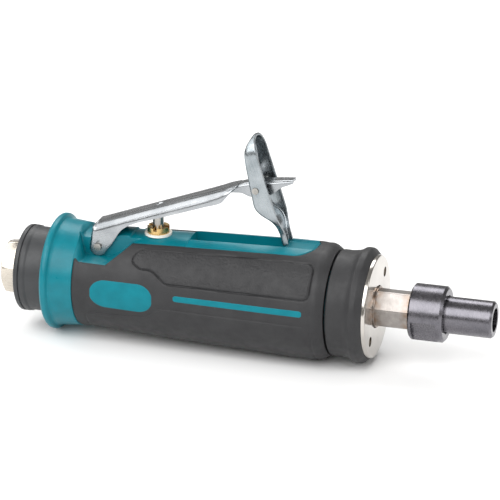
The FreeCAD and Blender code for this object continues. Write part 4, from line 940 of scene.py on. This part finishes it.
def make_latch():
    """Drawn safety latch: a deep dish with a round top, straight cheeks and a narrow tip."""
    half, top_z, tip_z, front = 7.4, 21.0, -25.4, 4.9
    arc_z = top_z - half
    web = curve((-25.4, 2.1), (-19.6, 2.6), (-16.5, 2.6), (-13.7, 1.6), (-10.2, -1.4), (-8.6, -2.4),
                (-1.75, -2.65),
                (4.4, -1.9), (12.0, -0.9), (17.6, 0.5), (19.6, 1.9), (21.0, 3.0))
    width = curve((-25.4, 3.8), (-23, 3.95), (-20.5, 4.2), (-18, 5.15), (-15.5, 6.35), (-13, 7.2),
                  (-10, 7.4), (0, 7.4), (14, 7.4))
    low = np.linspace(tip_z, arc_z, 62)
    turn = np.linspace(0, math.pi, 61)[1:-1]
    rim = [(-float(width(z)), z, 0.0, z) for z in low]
    rim += [(-half * math.cos(a), arc_z + half * math.sin(a), 0.0, arc_z) for a in turn]
    rim += [(-y, z, -sy, sz) for y, z, sy, sz in reversed(rim[:62])]
    corner, sheet = 1.5, 1.0

    def dish(inset):
        """The dish's outside, or its inside at an inset: for each rim point, a row down and inward."""
        points = []
        for y, z, sy, sz in rim:
            out = Vector((y - sy, z - sz))
            reach = out.length - inset
            out.normalize()
            bend = max(corner - inset, 0.3)
            place = [(reach, front - k * (front - float(web(z)) - corner) / 6) for k in range(7)]
            deep = float(web(z)) + inset
            start = place[-1][1]
            for k in range(1, 7):
                angle = math.pi / 2 * k / 6
                place.append((reach - bend * (1 - math.cos(angle)), mix(start, deep, math.sin(angle))))
            flat = reach - bend
            for k in range(1, 9):
                r = flat * (1 - k / 8)
                place.append((r, float(web(sz + out.y * r)) + inset))
            points.append([(n, sy + out.x * r, sz + out.y * r) for r, n in place])
        return points

    outer, inner = dish(0.0), dish(sheet)
    points = [p for row in outer + inner for p in row]
    faces = thick_faces(len(rim), len(outer[0]), sides=(0,))
    latch = make("safety_latch_drawn", points, faces, LATCH, sharp=40, weld=0.01)
    slot_outline = [(-4.1, -11.2, 0.8), (4.1, -11.2, 0.8), (4.1, 6.0, 2.0), (-4.1, 6.0, 2.0)]
    slot = block("slot", rounded(slot_outline), 6.0, "X", -5.0)
    carve(latch, slot, rod("pin_hole", 1.4, -12, 12, "Y", (0, 0, 0), 48), sharp=36)
    soften(latch, 0.14, 45)
    latch.data.transform(Euler((0, math.radians(-18.1), 0)).to_matrix().to_4x4())
    latch.data.transform(shift(*LATCH_PIN))
    settle(latch, "latch_group", ["safety_latch"])


# ---------------------------------------------------------------- stage

def make_stage():
    """Pale floor, soft light and the camera."""
    floor = bpy.data.meshes.new("floor")
    size, z = 6.0, -24.0 * MM
    corners = [(-size, -size, z), (size, -size, z), (size, size, z), (-size, size, z)]
    floor.from_pydata(corners, [], [(0, 1, 2, 3)])
    floor.materials.append(floor_paper())
    floor_object = bpy.data.objects.new("floor", floor)
    bpy.context.scene.collection.objects.link(floor_object)

    world = bpy.data.worlds.new("studio")
    world.use_nodes = True
    world.node_tree.nodes["Background"].inputs["Color"].default_value = (1.0, 0.985, 0.96, 1)
    world.node_tree.nodes["Background"].inputs["Strength"].default_value = 0.30
    bpy.context.scene.world = world
    middle = Vector((0.1, 0, 0.01))

    def softbox(name, azimuth, elevation, distance, width, height, power):
        """An area light that looks at the tool from a bearing round it."""
        a, e = math.radians(azimuth), math.radians(elevation)
        away = Vector((math.sin(a) * math.cos(e), -math.cos(a) * math.cos(e), math.sin(e)))
        data = bpy.data.lights.new(name, "AREA")
        data.shape = "RECTANGLE"
        data.size, data.size_y = width, height
        data.energy = power
        light = bpy.data.objects.new(name, data)
        light.location = middle + away * distance
        light.rotation_mode = "QUATERNION"
        light.rotation_quaternion = (-away).to_track_quat("-Z", "Y")
        bpy.context.scene.collection.objects.link(light)

    softbox("key", -8, 42, 0.9, 1.0, 0.75, 8.5)
    softbox("left", -82, 42, 0.9, 0.9, 0.6, 3.5)
    softbox("side", 75, 28, 0.9, 0.5, 0.5, 2.5)
    softbox("back", 185, 50, 1.1, 1.2, 0.5, 8)

    view = bpy.data.cameras.new("camera")
    view.lens, view.sensor_width = 230.4, 36
    view.clip_start, view.clip_end = 0.05, 20
    camera = bpy.data.objects.new("camera", view)
    camera.location = (0.45087, -1.13718, 0.48168)
    azimuth, elevation = math.radians(17.0), math.radians(21.3)
    look = Vector((-math.sin(azimuth) * math.cos(elevation), math.cos(azimuth) * math.cos(elevation),
                   -math.sin(elevation)))
    camera.rotation_mode = "QUATERNION"
    camera.rotation_quaternion = look.to_track_quat("-Z", "Y")
    bpy.context.scene.collection.objects.link(camera)
    bpy.context.scene.camera = camera
    bpy.context.scene.view_settings.view_transform = "Standard"


make_stage()
finish_cad_nodes()
make_grip()
make_inlay("grip_inlay_badge", GRIP_X + 7.5, GRIP_X + 34.5, 1.5, 6.8)
make_inlay("grip_inlay_stripe", GRIP_X + 43, GRIP_X + 97, 6.5, 1.5)
make_housing()
make_cap()
make_inlet()
make_collar()
make_lock_ring()
make_lever()
make_latch()
